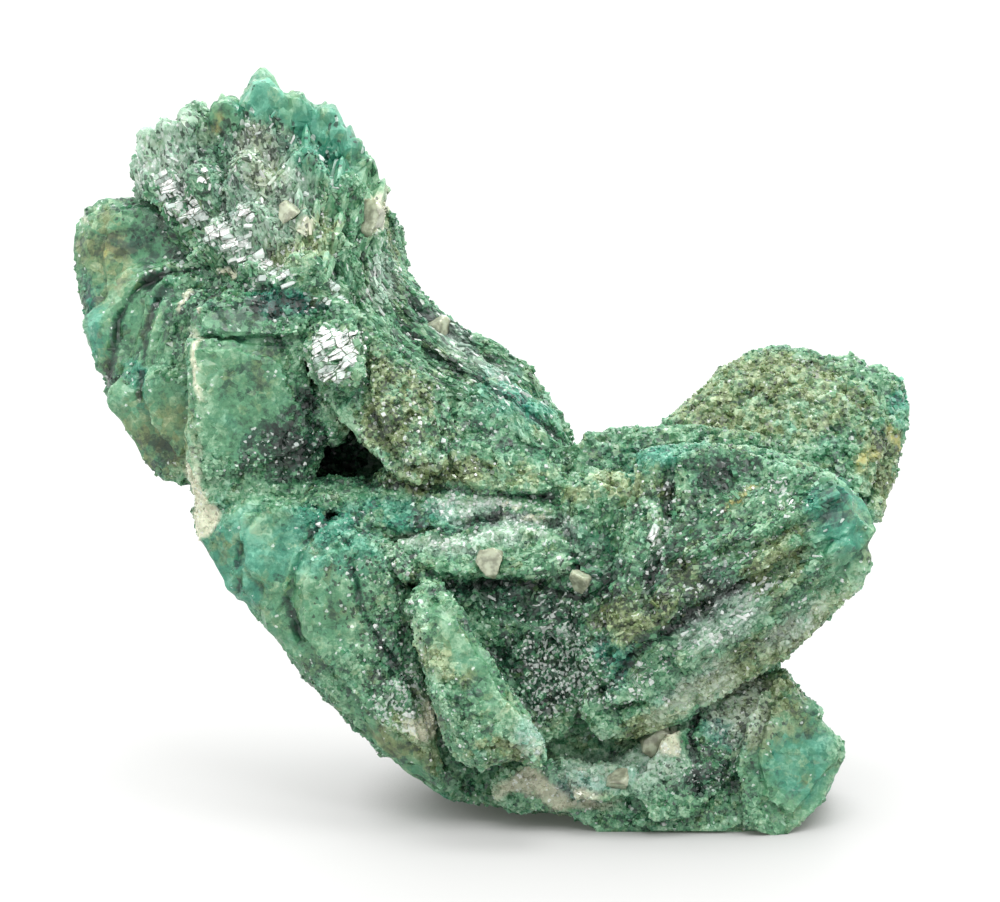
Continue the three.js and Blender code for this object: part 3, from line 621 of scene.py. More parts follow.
# Spots painted lighter: partly paler stone, partly painted light on shaded undersides.
LIGHT = [
    (620, 770, 50, 26, 0), (700, 692, 50, 20, 35), (555, 650, 30, 40, 0),
    (420, 735, 26, 20, -40), (160, 150, 34, 34, 0), (262, 92, 22, 26, 0),
    (250, 550, 26, 34, 0), (300, 600, 22, 34, 0), (800, 765, 26, 26, 0), (520, 572, 54, 24, 0),
    (265, 170, 30, 35, 0), (300, 250, 36, 26, 0), (230, 235, 34, 24, -40), (380, 280, 22, 40, 0),
    (470, 350, 44, 18, -30), (500, 420, 46, 30, 0), (150, 330, 24, 30, 0), (400, 487, 90, 8, 0),
    (370, 650, 24, 40, 0), (610, 540, 26, 38, 0), (720, 620, 44, 22, 35),
    (480, 537, 70, 10, 0), (740, 715, 34, 34, 0), (615, 775, 40, 20, 0), (420, 730, 24, 18, 0),
    (265, 175, 30, 40, 0), (655, 530, 8, 30, 0), (640, 760, 30, 16, 0),
    (370, 640, 30, 60, 0), (520, 735, 18, 18, 0),
    (700, 690, 36, 12, 35), (740, 720, 28, 30, 0), (525, 738, 14, 14, 0),
]
# Spots painted darker: partly duller stone, partly painted shade, as on the up-facing ledge.
DIM = [
    (120, 235, 60, 50, 0), (90, 290, 14, 30, 0), (240, 318, 80, 26, 0), (475, 650, 36, 54, 20),
    (550, 790, 50, 24, 0), (155, 330, 12, 24, 0),
    (380, 418, 22, 18, 0), (835, 510, 20, 28, 0), (880, 440, 14, 24, 0),
    (290, 450, 50, 30, 0), (325, 410, 14, 50, 20), (300, 312, 16, 10, 0), (620, 580, 20, 30, 0),
]
# Behind, the same kinds of places wander: the size of their patches in mm, and how rare they are.
BEHIND = dict(
    olive=(7.0, 0.05), teal=(6.0, 0.15), pale=(4.0, 0.35), cream=(3.0, 0.6), dark=(3.0, 0.35),
    glint_patches=(4.0, 0.45), smooth=(6.0, 0.25),
)
# A greyish-white veil on nearly the same spots that are painted lighter; like them, partly painted light,
# as a sheen.
HAZE = [
    (165, 150, 50, 44, 0), (262, 185, 50, 66, 0), (380, 280, 18, 30, 0), (470, 352, 60, 20, -30),
    (480, 537, 100, 14, 3), (525, 738, 22, 22, 0), (720, 620, 56, 28, 35), (700, 690, 50, 20, 35),
    (800, 625, 46, 22, 40), (620, 770, 70, 28, 0), (740, 720, 40, 40, 0), (480, 505, 50, 10, 0),
    (230, 235, 40, 24, -40),
]
# Where dark pits, painted in as their shade, and white flecks, painted glints, lie thicker.
SPECKLED = [
    (240, 190, 120, 100, 0), (385, 250, 44, 66, 0), (455, 345, 100, 46, -35), (400, 430, 60, 60, -40),
    (392, 655, 26, 80, -15), (560, 640, 70, 80, 0), (690, 550, 80, 70, 0), (700, 775, 50, 26, 0),
    (745, 725, 40, 40, 0), (380, 590, 60, 50, 0), (300, 450, 60, 30, 0),
]
ZONES = dict(
    light=LIGHT, dim=DIM, olive=OLIVE, teal=TEAL, pale=PALE, cream=CREAM, rust=RUST, dark=DARK,
    glint_patches=GLINT_PATCHES, smooth=SMOOTH, haze=HAZE, speckled=SPECKLED,
)


# How the zones' edges wander, broadly and finely: size and reach in mm. Folds and edges wander less.
WANDERS = (1.9, 0.8), (0.6, 0.35)
LINE_WANDER, RAGGED = 0.15, 0.2


def describe(mesh, points, bulge, lot=None, corners=1):
    """What the finishes need to know at each point: flags of its zone, its place along the flow."""

    def flag(name, values):
        values = np.repeat(values, corners).astype(np.float32)
        mesh.attributes.new(name, "FLOAT", "POINT").data.foreach_set("value", values)

    seen = as_seen(points)
    drawn, _ = flow_of(seen)
    hidden = unseen(seen)
    ragged = seen + RAGGED * wandering(points, 0.5, 71)
    flag("mosaic", np.maximum(region(ragged, MOSAIC[:WHOLE]), BROKEN * region(ragged, MOSAIC[WHOLE:])))
    for step, (size, reach) in enumerate(WANDERS):
        wander = wandering(points, size, 91 + 3 * step)
        seen = seen + reach * wander
        if step == 0:
            # fold flags paint shade into the creases, edge flags paint highlight on the ridges
            for name, lines in (("fold", FOLDS), ("edge", EDGES)):
                flag(name, near_lines(as_seen(points) + LINE_WANDER * wander, lines, flat=True))
    for number, (name, spots) in enumerate(ZONES.items()):
        values = region(seen, spots) * (1 - hidden)
        if name in BEHIND:
            size, rare = BEHIND[name]
            values += hidden * smooth_step(rare, rare + 0.25, rough(points, size, 200 + number, 2))
        flag(name, values)
    mesh.attributes.new("drawn", "FLOAT_VECTOR", "POINT").data.foreach_set(
        "vector", np.repeat(drawn, corners, axis=0).astype(np.float32).ravel()
    )
    flag("bulge", bulge)
    if lot is not None:
        flag("lot", lot)


# How far the body stands out: through the stone's tone it paints light onto bulges and shade into hollows.
NEAR_ROUNDS, NEAR_BULGE = 10, 0.22
FAR_ROUNDS, FAR_BULGE = 50, 0.5


def bulge_of(mesh):
    """1 where the body stands out, -1 deep in a fold."""
    points = points_of(mesh)
    edges = edges_of(mesh)
    near = averaged(points, edges, NEAR_ROUNDS)
    far = averaged(near, edges, FAR_ROUNDS)
    normals = averaged(normals_of(mesh), edges, 4)
    near_bulge = ((points - near) * normals).sum(1) / NEAR_BULGE
    far_bulge = ((near - far) * normals).sum(1) / FAR_BULGE
    return np.clip(0.6 * near_bulge + 0.6 * far_bulge, -1, 1)


# Small crystals on the body.

# A cleavage fragment is a leaning block, and a splinter ends in a chisel: corners, then faces.
BLOCK = (
    [(-1, -1, -1), (1, -1, -1), (1, 1, -1), (-1, 1, -1),
     (-0.9, -0.8, 1), (0.75, -0.8, 1), (1.1, 0.8, 1), (-0.55, 0.8, 1)],
    [(3, 2, 1, 0), (4, 5, 6, 7), (0, 1, 5, 4), (1, 2, 6, 5), (2, 3, 7, 6), (3, 0, 4, 7)],
)
SPLINTER = (
    [(-1, -0.7, -1), (-1, 0.7, -1), (-1, 0.9, 0.5), (-1, -0.6, 0.6),
     (0.55, -1, -1), (0.5, 1, -1), (0.6, 0.8, 0.6), (0.5, -0.7, 0.9), (1, -0.3, -0.6), (0.95, 0.4, 0.0)],
    [(0, 1, 2, 3), (0, 4, 5, 1), (1, 5, 6, 2), (2, 6, 7, 3), (3, 7, 4, 0),
     (4, 8, 9, 7), (5, 9, 8, 4), (5, 6, 9), (6, 7, 9)],
)


def turned(along, normal):
    """Three axes a crystal lies on: along it, across it, out of the body."""
    along = along - normal * (along * normal).sum(1)[:, None]
    along /= np.linalg.norm(along, axis=1)[:, None] + 1e-9
    return np.stack([along, np.cross(normal, along), normal], 1)


def crystals(name, shape, centres, axes, sizes, bulge, lot):
    """Many small crystals as one mesh, in mm."""
    corners, faces = np.array(shape[0], float), shape[1]
    count, per = len(centres), len(corners)
    points = np.einsum("kc,nc,ncd->nkd", corners, sizes, axes) + centres[:, None, :]
    points = inside_box(points.reshape(-1, 3))
    offsets = (np.arange(count) * per)[:, None]
    table = []
    for face in faces:
        table.extend((offsets + np.array(face)).tolist())
    mesh = bpy.data.meshes.new(name)
    mesh.from_pydata(points.tolist(), [], table)
    describe(mesh, centres, bulge, lot, per)
    return mesh


def scattered(mesh, count, seed, density):
    """Random places on the body, with more of them where the density is higher."""
    mesh.calc_loop_triangles()
    corners = read(mesh.loop_triangles, "vertices", 3, np.int32)
    points = points_of(mesh)
    a, b, c = (points[corners[:, i]] for i in range(3))
    area = np.linalg.norm(np.cross(b - a, c - a), axis=1) / 2
    middle = (a + b + c) / 3
    weight = area * density(middle, as_seen(middle))
    rng = np.random.default_rng(seed)
    pick = rng.choice(len(area), count, p=weight / weight.sum())
    s, t = rng.random((2, count))
    s, t = np.where(s + t > 1, 1 - s, s), np.where(s + t > 1, 1 - t, t)
    places = a[pick] + (b - a)[pick] * s[:, None] + (c - a)[pick] * t[:, None]
    return places, corners[pick, 0], rng


CAHNITE_ROOM, FOOT_ROOM = 0.2, 0.35
# Grains count as standing out a little more than the body, so the painted light on bulges makes them a
# little lighter.
GRAIN_SUNK, GRAIN_BULGE = 0.35, 0.15
# Most grains are small.
SMALL_SKEW = 1.5


def away_from_cahnite(points):
    """False where a crystal of cahnite sits."""
    free = np.ones(len(points), bool)
    for name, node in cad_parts.items():
        if name.startswith("cahnite"):
            box = points_of(node.data) / MM
            middle, half = box.mean(0), (box.max(0) - box.min(0)) / 2
            free &= (np.abs(points - middle) / (half + CAHNITE_ROOM)).max(1) > 1
    return free


def grains_on(mesh, name, shape, count, seed, density, length, width, thick, lean, follow):
    """Crystals strewn over the body, lying along the flow where there is one."""
    normals = averaged(normals_of(mesh), edges_of(mesh), 3)
    bulge = bulge_of(mesh)
    places, nearest, rng = scattered(mesh, count, seed, density)
    keep = away_from_cahnite(places) & (places[:, 2] > FOOT_ROOM)
    places, nearest = places[keep], nearest[keep]
    number = len(places)
    normal = normals[nearest] + lean * rng.normal(size=(number, 3))
    normal /= np.linalg.norm(normal, axis=1)[:, None]
    _, way = flow_of(as_seen(places))
    flowing = np.hypot(way[:, 0], way[:, 1])[:, None]
    along = np.concatenate([way, np.zeros((number, 1))], 1) @ TO_SEEN
    along = follow * along + (1 - follow * flowing + 0.25) * rng.normal(size=(number, 3))
    size = rng.random((number, 1)) ** SMALL_SKEW
    sizes = np.concatenate([low + (high - low) * size for low, high in (length, width, thick)], 1) / 2
    sizes *= 1 - 0.3 * (1 - flowing) * np.array([1, 0, 0])
    centres = places - normal * sizes[:, 2:] * GRAIN_SUNK
    lot = rng.random(number)
    bulge = bulge[nearest] + GRAIN_BULGE
    return crystals(name, shape, centres, turned(along, normal), sizes, bulge, lot)


PLATE_LENGTH, PLATE_WIDTH = 8.5, 5
PLATE_LIFT = 0.16
PLATE_LONG, PLATE_WIDE, PLATE_THICK = (0.16, 0.42), (0.09, 0.2), 0.1
# Most plates share lot 0, which paints them white as glints.
PLATES_MISSING, PLATES_ALIKE = 0.84, 0.8
PLATE_FACING = np.array([0.12, 0.25, 1.0])


def cleavage_plates():
    """A few thin slanting plates on the cleavage, all facing nearly one way; most are painted white, as
    glints.
    """
    rng = np.random.default_rng(12)
    centres, axes, sizes = [], [], []
    for px, py, rx, ry, turn, slant in CLEAVAGE:
        (c, s), (a, b) = cos_sin(turn), cos_sin(slant)
        rows = int(rx / PLATE_WIDTH) + 1
        for row, place in product(range(-rows, rows + 1), repeat=2):
            along = (place + 0.5 * (row % 2)) * PLATE_LENGTH + rng.uniform(-3, 3)
            across = row * PLATE_WIDTH + rng.uniform(-1.2, 1.2)
            dx, dy = along * a - across * b, along * b + across * a
            u, v = (dx * c + dy * s) / rx, (dy * c - dx * s) / ry
            if u * u + v * v > rng.uniform(0.8, 1.15) or rng.random() < PLATES_MISSING:
                continue
            normal = PLATE_FACING + rng.normal(size=3) * 0.1
            lean = math.radians(slant + rng.normal() * 9)
            lift = PLATE_LIFT + rng.uniform(-0.06, 0.06)
            centres.append(on_surface(px + dx, py - dy) + (0, 0, lift))
            axes.append((normal / np.linalg.norm(normal), (math.cos(lean), math.sin(lean), 0)))
            sizes.append((rng.uniform(*PLATE_LONG), rng.uniform(*PLATE_WIDE), PLATE_THICK))
    centres, sizes = np.array(centres), np.array(sizes)
    normal = np.array([axis[0] for axis in axes]) @ TO_SEEN
    along = np.array([axis[1] for axis in axes]) @ TO_SEEN
    count = len(centres)
    lot = np.where(rng.random(count) < PLATES_ALIKE, 0, 0.2 + 0.6 * rng.random(count))
    # The plates count as standing out, so they get the painted light of bulges.
    bulge = np.full(count, 0.3)
    return crystals("cleavage", BLOCK, as_stood(centres), turned(along, normal), sizes, bulge, lot)


# The rim of the crest: foot, tip and half a width of each blade, in pixels.
CREST_BLADES = [
    (166, 208, 134, 160, 12), (180, 192, 144, 128, 13), (192, 184, 166, 113, 12),
    (208, 178, 186, 105, 11), (218, 172, 200, 109, 9), (242, 190, 221, 93, 12),
    (254, 186, 234, 97, 9), (264, 182, 262, 66, 20), (284, 200, 292, 90, 18),
    (304, 215, 325, 101, 15), (320, 228, 350, 125, 14), (336, 245, 366, 151, 13),
    (352, 262, 384, 178, 10),
]
# The blades before these are the fingers of the body's own mesh.
FIRST_BLADE = 5
RIM_FOOT_DEPTH, SUNK_FOOT_DEPTH, RIM_TIP_DEPTH = 1.7, 0.8, -0.45
RIM_MIDDLE = 280
BLADE_THICK, SHORT_BLADE_THICK = 0.5, 0.2
# Short blades down the crest's front: rows, where they lie from the focus to the rim, and their turns.
SHORT_ROWS, FIRST_ROW, ROW_STEP = 5, 0.88, 0.09
SHORT_TURNS = np.arange(8.4, 11.2, 0.7)
BLADE_PROFILE = [(0, 0.6), (0.35, 0.8), (0.65, 1.0), (0.80, 0.92), (0.92, 0.55), (1, 0.12)]


def blade_points(foot, tip, half_width, half_thick, rng, profile=BLADE_PROFILE):
    """A flat blade with a roof on each side, closing to an edge at the tip. Seen coordinates, mm."""
    foot, tip = np.array(foot, float), np.array(tip, float)
    along = tip - foot
    across = np.array([along[1], -along[0], 0])
    across /= np.linalg.norm(across) + 1e-9
    out = np.cross(across, along)
    out /= np.linalg.norm(out) + 1e-9
    lean = rng.uniform(-0.3, 0.3)
    rings = []
    for t, wide in profile:
        middle = foot + along * t
        w = half_width * wide * rng.uniform(0.92, 1.08)
        h = half_thick * min(1, wide * 1.3)
        left, right = lean - 0.35, lean + 0.35
        for s, d in ((-1, 0), (left, 1), (right, 1), (1, 0), (right, -1), (left, -1)):
            rings.append(middle + across * s * w + out * d * h)
    return rings


def blade_faces(start, corners):
    """The faces of a blade whose rings of six corners begin at start."""
    faces = [tuple(start + k for k in (5, 4, 3, 2, 1, 0))]
    for near in range(start, start + corners - 6, 6):
        for k in range(6):
            after = (k + 1) % 6
            faces.append((near + k, near + after, near + 6 + after, near + 6 + k))
    faces.append(tuple(start + corners - 6 + k for k in range(6)))
    return faces


def blades(name, rows, seed):
    """The blades in the rows, as one mesh, in mm."""
    rng = np.random.default_rng(seed)
    points, faces, lots = [], [], []
    for foot, tip, half_width, half_thick in rows:
        blade = blade_points(foot, tip, half_width, half_thick, rng)
        faces.extend(blade_faces(len(points), len(blade)))
        points.extend(blade)
        lots.extend([rng.uniform(0.45, 1)] * len(blade))
    stood = inside_box(as_stood(np.array(points)))
    mesh = bpy.data.meshes.new(name)
    mesh.from_pydata(stood.tolist(), [], faces)
    # The blades count as standing out, so they get the painted light of bulges.
    describe(mesh, stood, np.full(len(stood), 0.35), np.array(lots))
    return mesh


def past_rim(seen):
    """How far out towards the crest's rim each point lies: 1 at the tips."""
    tips = np.array([across_up(blade[2], blade[3]) for blade in CREST_BLADES]) - CREST_FOCUS
    turns, reaches = np.arctan2(tips[:, 0], tips[:, 1]), np.hypot(tips[:, 0], tips[:, 1])
    x, y = seen[:, 0] - CREST_FOCUS[0], seen[:, 1] - CREST_FOCUS[1]
    turn = np.arctan2(x, y)
    inside = (turn > turns[0] - 0.05) & (turn < turns[-1] + 0.05)
    return np.where(inside, np.hypot(x, y) / np.interp(turn, turns, reaches), 0)


def crest_rows():
    """Blades of the rim, and shorter ones in rows down the sides of the crest's front."""
    rows = []
    for foot_px, foot_py, tip_px, tip_py, half in CREST_BLADES[FIRST_BLADE:]:
        foot = (*across_up(foot_px, foot_py), RIM_FOOT_DEPTH if tip_px > RIM_MIDDLE else SUNK_FOOT_DEPTH)
        tip = (*across_up(tip_px, tip_py), RIM_TIP_DEPTH - 0.025 * half)
        rows.append((foot, tip, half / PIXELS_PER_MM, BLADE_THICK))
    rng = np.random.default_rng(7)
    focus = np.array(CREST_FOCUS_PIXEL, float)
    for row in range(SHORT_ROWS):
        shrink = FIRST_ROW - ROW_STEP * row
        for turn in SHORT_TURNS:
            k = turn + rng.uniform(-0.2, 0.2)
            tips = ([blade[i] for blade in CREST_BLADES] for i in (2, 3))
            rim = np.array([np.interp(k, range(len(CREST_BLADES)), tip) for tip in tips])
            tip = focus + (rim - focus) * (shrink + rng.uniform(-0.03, 0.03))
            foot = tip + (focus - tip) * rng.uniform(0.12, 0.22)
            high, low = on_surface(*tip), on_surface(*foot)
            high[2] = min(high[2], low[2] + 0.8) + 0.05
            low[2] -= 0.3
            rows.append((low, high, rng.uniform(0.2, 0.38), SHORT_BLADE_THICK))
    return rows


# Shader maths.

class Wire:
    """A socket's output, on which sums are written as on a number."""

    def __init__(self, tree, socket):
        self.tree, self.socket = tree, socket

    def maths(self, operation, *values):
        return self.tree.node("ShaderNodeMath", {"operation": operation}, dict(enumerate(values))).out(0)

    def __add__(self, other):
        return self.maths("ADD", self, other)

    def __sub__(self, other):
        return self.maths("SUBTRACT", self, other)

    def __rsub__(self, other):
        return self.maths("SUBTRACT", other, self)

    def __mul__(self, other):
        return self.maths("MULTIPLY", self, other)

    def __lt__(self, other):
        return self.maths("LESS_THAN", self, other)

    def __gt__(self, other):
        return self.maths("GREATER_THAN", self, other)

    __radd__, __rmul__ = __add__, __mul__

    def ranged(self, low, high, first=0.0, last=1.0, kind="LINEAR"):
        """The first value at low, the last at high, held at the ends."""
        values = {"Value": self, "From Min": low, "From Max": high, "To Min": first, "To Max": last}
        return self.tree.node("ShaderNodeMapRange", {"interpolation_type": kind}, values).out("Result")

    def between(self, low, high):
        """0 at low, 1 at high, with a soft start and end."""
        return self.ranged(low, high, kind="SMOOTHSTEP")

    def size(self):
        return self.maths("ABSOLUTE", self)

    def held(self):
        """Kept from 0 to 1."""
        return self.tree.node("ShaderNodeClamp", {}, {"Value": self}).out(0)


class Made:
    """A node that has been made, and its outputs."""

    def __init__(self, tree, node):
        self.tree, self.made = tree, node

    def out(self, name):
        return Wire(self.tree, self.made.outputs[name])


class Nodes:
    """A node tree, with one call for each node."""

    def __init__(self, tree):
        self.nodes, self.links = tree.nodes, tree.links
        self.nodes.clear()

    def node(self, kind, settings=None, values=None):
        node = self.nodes.new(kind)
        for name, value in (settings or {}).items():
            setattr(node, name, value)
        for name, value in (values or {}).items():
            socket = node.inputs[name]
            if isinstance(value, Wire):
                self.links.new(value.socket, socket)
            elif isinstance(value, tuple) and len(value) == 3 and socket.type == "RGBA":
                socket.default_value = (*value, 1)
            else:
                socket.default_value = value
        return Made(self, node)

    def parts(self, value):
        """The three parts of a colour, each a lot of its own."""
        return self.node("ShaderNodeSeparateColor", {}, {0: value})

    def vector(self, operation, *values, **scale):
        """Vector maths, by the name of its operation."""
        values = {**dict(enumerate(values)), **scale}
        return self.node("ShaderNodeVectorMath", {"operation": operation}, values)

    def mixed(self, amount, one, other):
        settings = {"data_type": "RGBA", "blend_type": "MIX"}
        return self.node("ShaderNodeMix", settings, {0: amount, 6: one, 7: other}).out(2)


class Finish(Nodes):
    """A material and its nodes."""

    def __init__(self, name):
        self.material = bpy.data.materials.new(name)
        self.material.use_nodes = True
        super().__init__(self.material.node_tree)

    def flagged(self, name):
        return self.node("ShaderNodeAttribute", {"attribute_name": name}).out("Fac")

    def place(self):
        """Where a point is on the object, in millimetres."""
        where = self.node("ShaderNodeTexCoord").out("Object")
        return self.vector("SCALE", where, Scale=1 / MM).out(0)

    def cloud(self, place, size, detail=3.0, roughness=0.6, warp=0.0):
        """Soft noise from 0 to 1 with patches of about the given size."""
        values = dict(Vector=place, Scale=1 / size, Detail=detail, Roughness=roughness, Distortion=warp)
        return self.node("ShaderNodeTexNoise", {}, values).out("Fac")

    def crystals(self, place, size, feature="F1", randomness=1.0):
        """Cells like packed crystals, each with its own colour."""
        values = dict(Vector=place, Scale=1 / size, Randomness=randomness)
        return self.node("ShaderNodeTexVoronoi", {"feature": feature}, values)

    def along(self, place, way):
        """How far a place lies along a way."""
        return self.vector("DOT_PRODUCT", place, way).out("Value")

    def surface(self, **values):
        """The material, from its shader's values."""
        values = {name.replace("_", " "): value for name, value in values.items()}
        shader = self.node("ShaderNodeBsdfPrincipled", {}, values)
        self.node("ShaderNodeOutputMaterial", {}, {"Surface": shader.out("BSDF")})
        return self.material


DEEP_GREEN = (0.014, 0.058, 0.032)
LEAF_GREEN = (0.066, 0.210, 0.102)
PALE_GREEN = (0.25, 0.42, 0.265)
DEEP_SEA = (0.006, 0.060, 0.046)
SEA_GREEN = (0.026, 0.195, 0.122)
PALE_SEA = (0.13, 0.38, 0.26)
DEEP_OLIVE = (0.036, 0.056, 0.022)
OLIVE_GREEN = (0.132, 0.185, 0.074)
PALE_OLIVE = (0.33, 0.42, 0.235)
DUSK = (0.14, 0.155, 0.10)
STRAW = (0.64, 0.67, 0.49)
RUST_GOLD = (0.30, 0.30, 0.10)
# Whites of the painted glints: the flecks, the cleavage plates, and the greyer white of dimmer glints and
# the haze.
GLINT_WHITE = (0.70, 0.75, 0.71)
PLATE_WHITE = (0.88, 0.91, 0.88)
SHEEN_GREY = (0.40, 0.48, 0.44)
# Near-black green where the tone falls lowest, mostly painted shade in folds, hollows and pits.
NIGHT_GREEN = (0.004, 0.012, 0.008)

# Light comes back from just under the surface of both minerals, in metres.
UNDER_SURFACE = 0.0006
# Cells of the white plate mosaic in a millimetre, along and across the plates.
PLATES_ALONG, PLATES_ACROSS = 1.4, 3.2
GLINT = 0.75


def green(f, tone, teal, olive):
    """The stone's colour from a tone that carries both its own shades and painted light and shade: dark
    below, the plain green between, pale above.
    """
    low = f.mixed(olive, f.mixed(teal, DEEP_GREEN, DEEP_SEA), DEEP_OLIVE)
    middle = f.mixed(olive, f.mixed(teal, LEAF_GREEN, SEA_GREEN), OLIVE_GREEN)
    high = f.mixed(olive, f.mixed(teal, PALE_GREEN, PALE_SEA), PALE_OLIVE)
    colour = f.mixed(tone.between(0.1, 0.55), low, middle)
    colour = f.mixed(tone.between(0.5, 1.15), colour, high)
    return f.mixed(tone.between(0.12, -0.35), colour, NIGHT_GREEN)


def painted_cleavage_glints(f, place, colour):
    """Painted glints: white plates with dark cracks between them, standing in for light reflected off the
    cleavage; the colour, where they are, and the plates' lots.
    """
    c, d = cos_sin(CLEAVAGE_SLANT)
    bent = f.cloud(place, 0.7) * 0.45
    long_way = f.along(place, (c, d * SIN, d * COS)) * PLATES_ALONG + bent
    short_way = f.along(place, (-d, c * SIN, c * COS)) * PLATES_ACROSS - bent
    laid = f.node("ShaderNodeCombineXYZ", {}, {0: long_way, 1: short_way}).out(0)
    drawn_out = f.node("ShaderNodeCombineXYZ", {}, {0: long_way * 0.5, 1: short_way * 2.2}).out(0)
    crack = f.crystals(laid, 1, "DISTANCE_TO_EDGE", 0.7).out("Distance").between(0.015, 0.06)
    line = (f.cloud(drawn_out, 1, 2) - 0.5).size().between(0.006, 0.03)
    plates = f.crystals(laid, 1, "F1", 0.7).out("Color")
    lots = f.parts(plates)
    mosaic = (f.flagged("mosaic") + f.cloud(place, 0.8) - 1.14).between(0, 0.1)
    bright = mosaic * lots.out(0).between(0.15, 0.3)
    white = f.mixed(lots.out(1).between(0.05, 0.5), SHEEN_GREY, PLATE_WHITE)
    colour = f.mixed(bright * crack * (0.35 + line * 0.6), colour, white)
    colour = f.mixed(mosaic * (1 - crack) * 0.7, colour, DEEP_OLIVE)
    return colour, mosaic, plates


def tilted(f, amount, lots):
    """The surface's normal, turned a little by the lot of each crystal."""
    normal = f.node("ShaderNodeNewGeometry").out("Normal")
    tilt = f.vector("SUBTRACT", lots, (0.5, 0.5, 0.5)).out(0)
    tilt = f.vector("SCALE", tilt, Scale=amount).out(0)
    turned_normal = f.vector("ADD", normal, tilt).out(0)
    return f.vector("NORMALIZE", turned_normal).out(0)


# How much lighter or darker the stone is where each flag is up. Bulge and edge paint light onto what stands
# out, fold paints shade into the creases, and light, pale, dim and dark are partly the stone's own tone and
# partly painted light and shade.
TONES = dict(bulge=0.2, pale=0.35, edge=0.4, dark=-0.42, fold=-0.5, light=0.18, dim=-0.3)


def borcarite_finish(name, own_lot, uneven=1.0):
    """The green stone. With own_lot each crystal is a mesh that carries its own lot."""
    f = Finish(name)
    place = f.place()
    drawn = f.node("ShaderNodeAttribute", {"attribute_name": "drawn"}).out("Vector")
    big = f.cloud(place, 2.6, 3, 0.6, 0.4)
    small = f.cloud(place, 0.6, 4, 0.7)
    patch = f.cloud(place, 1.3, 3, 0.6, 0.6)
    speckle = f.cloud(drawn, 0.2, 3, 0.75)
    grains = f.crystals(drawn, 0.36)
    lots = f.parts(grains.out("Color"))
    speck_lot = f.parts(f.crystals(drawn, 0.13).out("Color")).out(1)
    lot = f.flagged("lot") if own_lot else lots.out(0)
    smooth = f.flagged("smooth")
    grainy = (1 - 0.5 * smooth) * uneven

    # its greens
    teal = (f.flagged("teal") + (small - 0.62) * 1.2 + (patch - 0.5) * 2.4).held()
    warmth = (lots.out(1) - 0.5) * 0.8 + (speckle - 0.5) * 1.2 + (0.47 - patch) * 1.8
    olive = (f.flagged("olive") - (big - 0.42) * 1.2 + warmth).held()
    tone = 0.5 + (big - 0.5) * 1.1 + (small - 0.5) * 0.8 + (speckle - 0.5) * 2.2 * grainy
    tone = tone + (lot - 0.5) * 0.6 * grainy
    for flag, share in TONES.items():
        tone = tone + f.flagged(flag) * share
    colour = green(f, tone, teal, olive)

    # cream matrix, a greyish-white haze that is partly a painted sheen, dark pits painted in as their
    # shade, and rust
    # painted shade: the cream darkens where the dim spots are
    straw = speckle.between(0.22, 0.52) * (1 - f.flagged("dim") * 0.6)
    cream = (f.flagged("cream") * 1.4 + (small - 0.6)).held()
    colour = f.mixed(cream, colour, f.mixed(straw, DUSK, STRAW))
    colour = f.mixed(f.flagged("haze") * speckle.between(0.3, 0.65) * 0.62, colour, SHEEN_GREY)
    pits = speck_lot > (1 - f.flagged("speckled") * 0.16)
    colour = f.mixed(pits * 0.75, colour, NIGHT_GREEN)
    colour = f.mixed((f.flagged("rust") * small.between(0.35, 0.6)).held(), colour, RUST_GOLD)

    # painted glints: white flecks that stand in for light caught by tiny cleavage faces, thicker on edges
    often = 0.012 + f.flagged("speckled") * 0.05 + f.flagged("glint_patches") * 0.3
    often = (often + f.flagged("cream") * 0.08 + f.flagged("edge") * 0.12) * grainy
    white = (lot if own_lot else speck_lot) < often
    fleck_glint = f.mixed(speckle.between(0.3, 0.6), SHEEN_GREY, GLINT_WHITE)
    colour = f.mixed(white * (0.8 if own_lot else 0.6), colour, fleck_glint)
    colour, mosaic, plates = painted_cleavage_glints(f, place, colour)
    return f.surface(
        Base_Color=colour,
        Roughness=(0.14 + lots.out(2) * 0.3 + smooth * 0.1).held(),
        Normal=tilted(f, GLINT * grainy, f.mixed(mosaic, grains.out("Color"), plates)),
        IOR=1.55,
        Subsurface_Weight=0.2,
        Subsurface_Radius=(0.5, 1.0, 0.8),
        Subsurface_Scale=UNDER_SURFACE,
    )


CAHNITE_GREY = (0.19, 0.20, 0.14)
CAHNITE_TAN = (0.42, 0.46, 0.335)


def cahnite_finish():
    """The small greyish tan crystals, clouded inside."""
    f = Finish("cahnite")
    cloud = f.cloud(f.place(), 0.5, 4, 0.6)
    return f.surface(
        Base_Color=f.mixed(cloud.between(0.35, 0.65), CAHNITE_GREY, CAHNITE_TAN),
        Roughness=0.22,
        IOR=1.66,
        Subsurface_Weight=0.3,
        Subsurface_Radius=(1.0, 0.9, 0.7),
        Subsurface_Scale=UNDER_SURFACE,
    )


TABLE_WHITE = (0.26, 0.26, 0.258)
# The table's own light, a painted glow, and how near the stone it is dimmed as a painted contact shadow, in
# mm.
GLOW, SHADED_GLOW, GLOW_STRENGTH = (1, 1, 0.985), (0.15, 0.17, 0.14), 0.33
CONTACT_SHADE, SHADE_RAYS = 4, 4
SHADED, OPEN = 0.15, 0.7


def table_finish():
    """White, with a painted glow of its own, so that the shadow is faint, and that glow dimmed near the
    stone as a painted contact shadow.
    """
    f = Finish("white_table")
    shade = {"Distance": CONTACT_SHADE * MM}
    open_to_light = f.node("ShaderNodeAmbientOcclusion", {"samples": SHADE_RAYS}, shade).out("AO")
    return f.surface(
        Base_Color=TABLE_WHITE,
        Roughness=0.6,
        Emission_Color=f.mixed(open_to_light.between(SHADED, OPEN), SHADED_GLOW, GLOW),
        Emission_Strength=GLOW_STRENGTH,
    )


# The specimen.

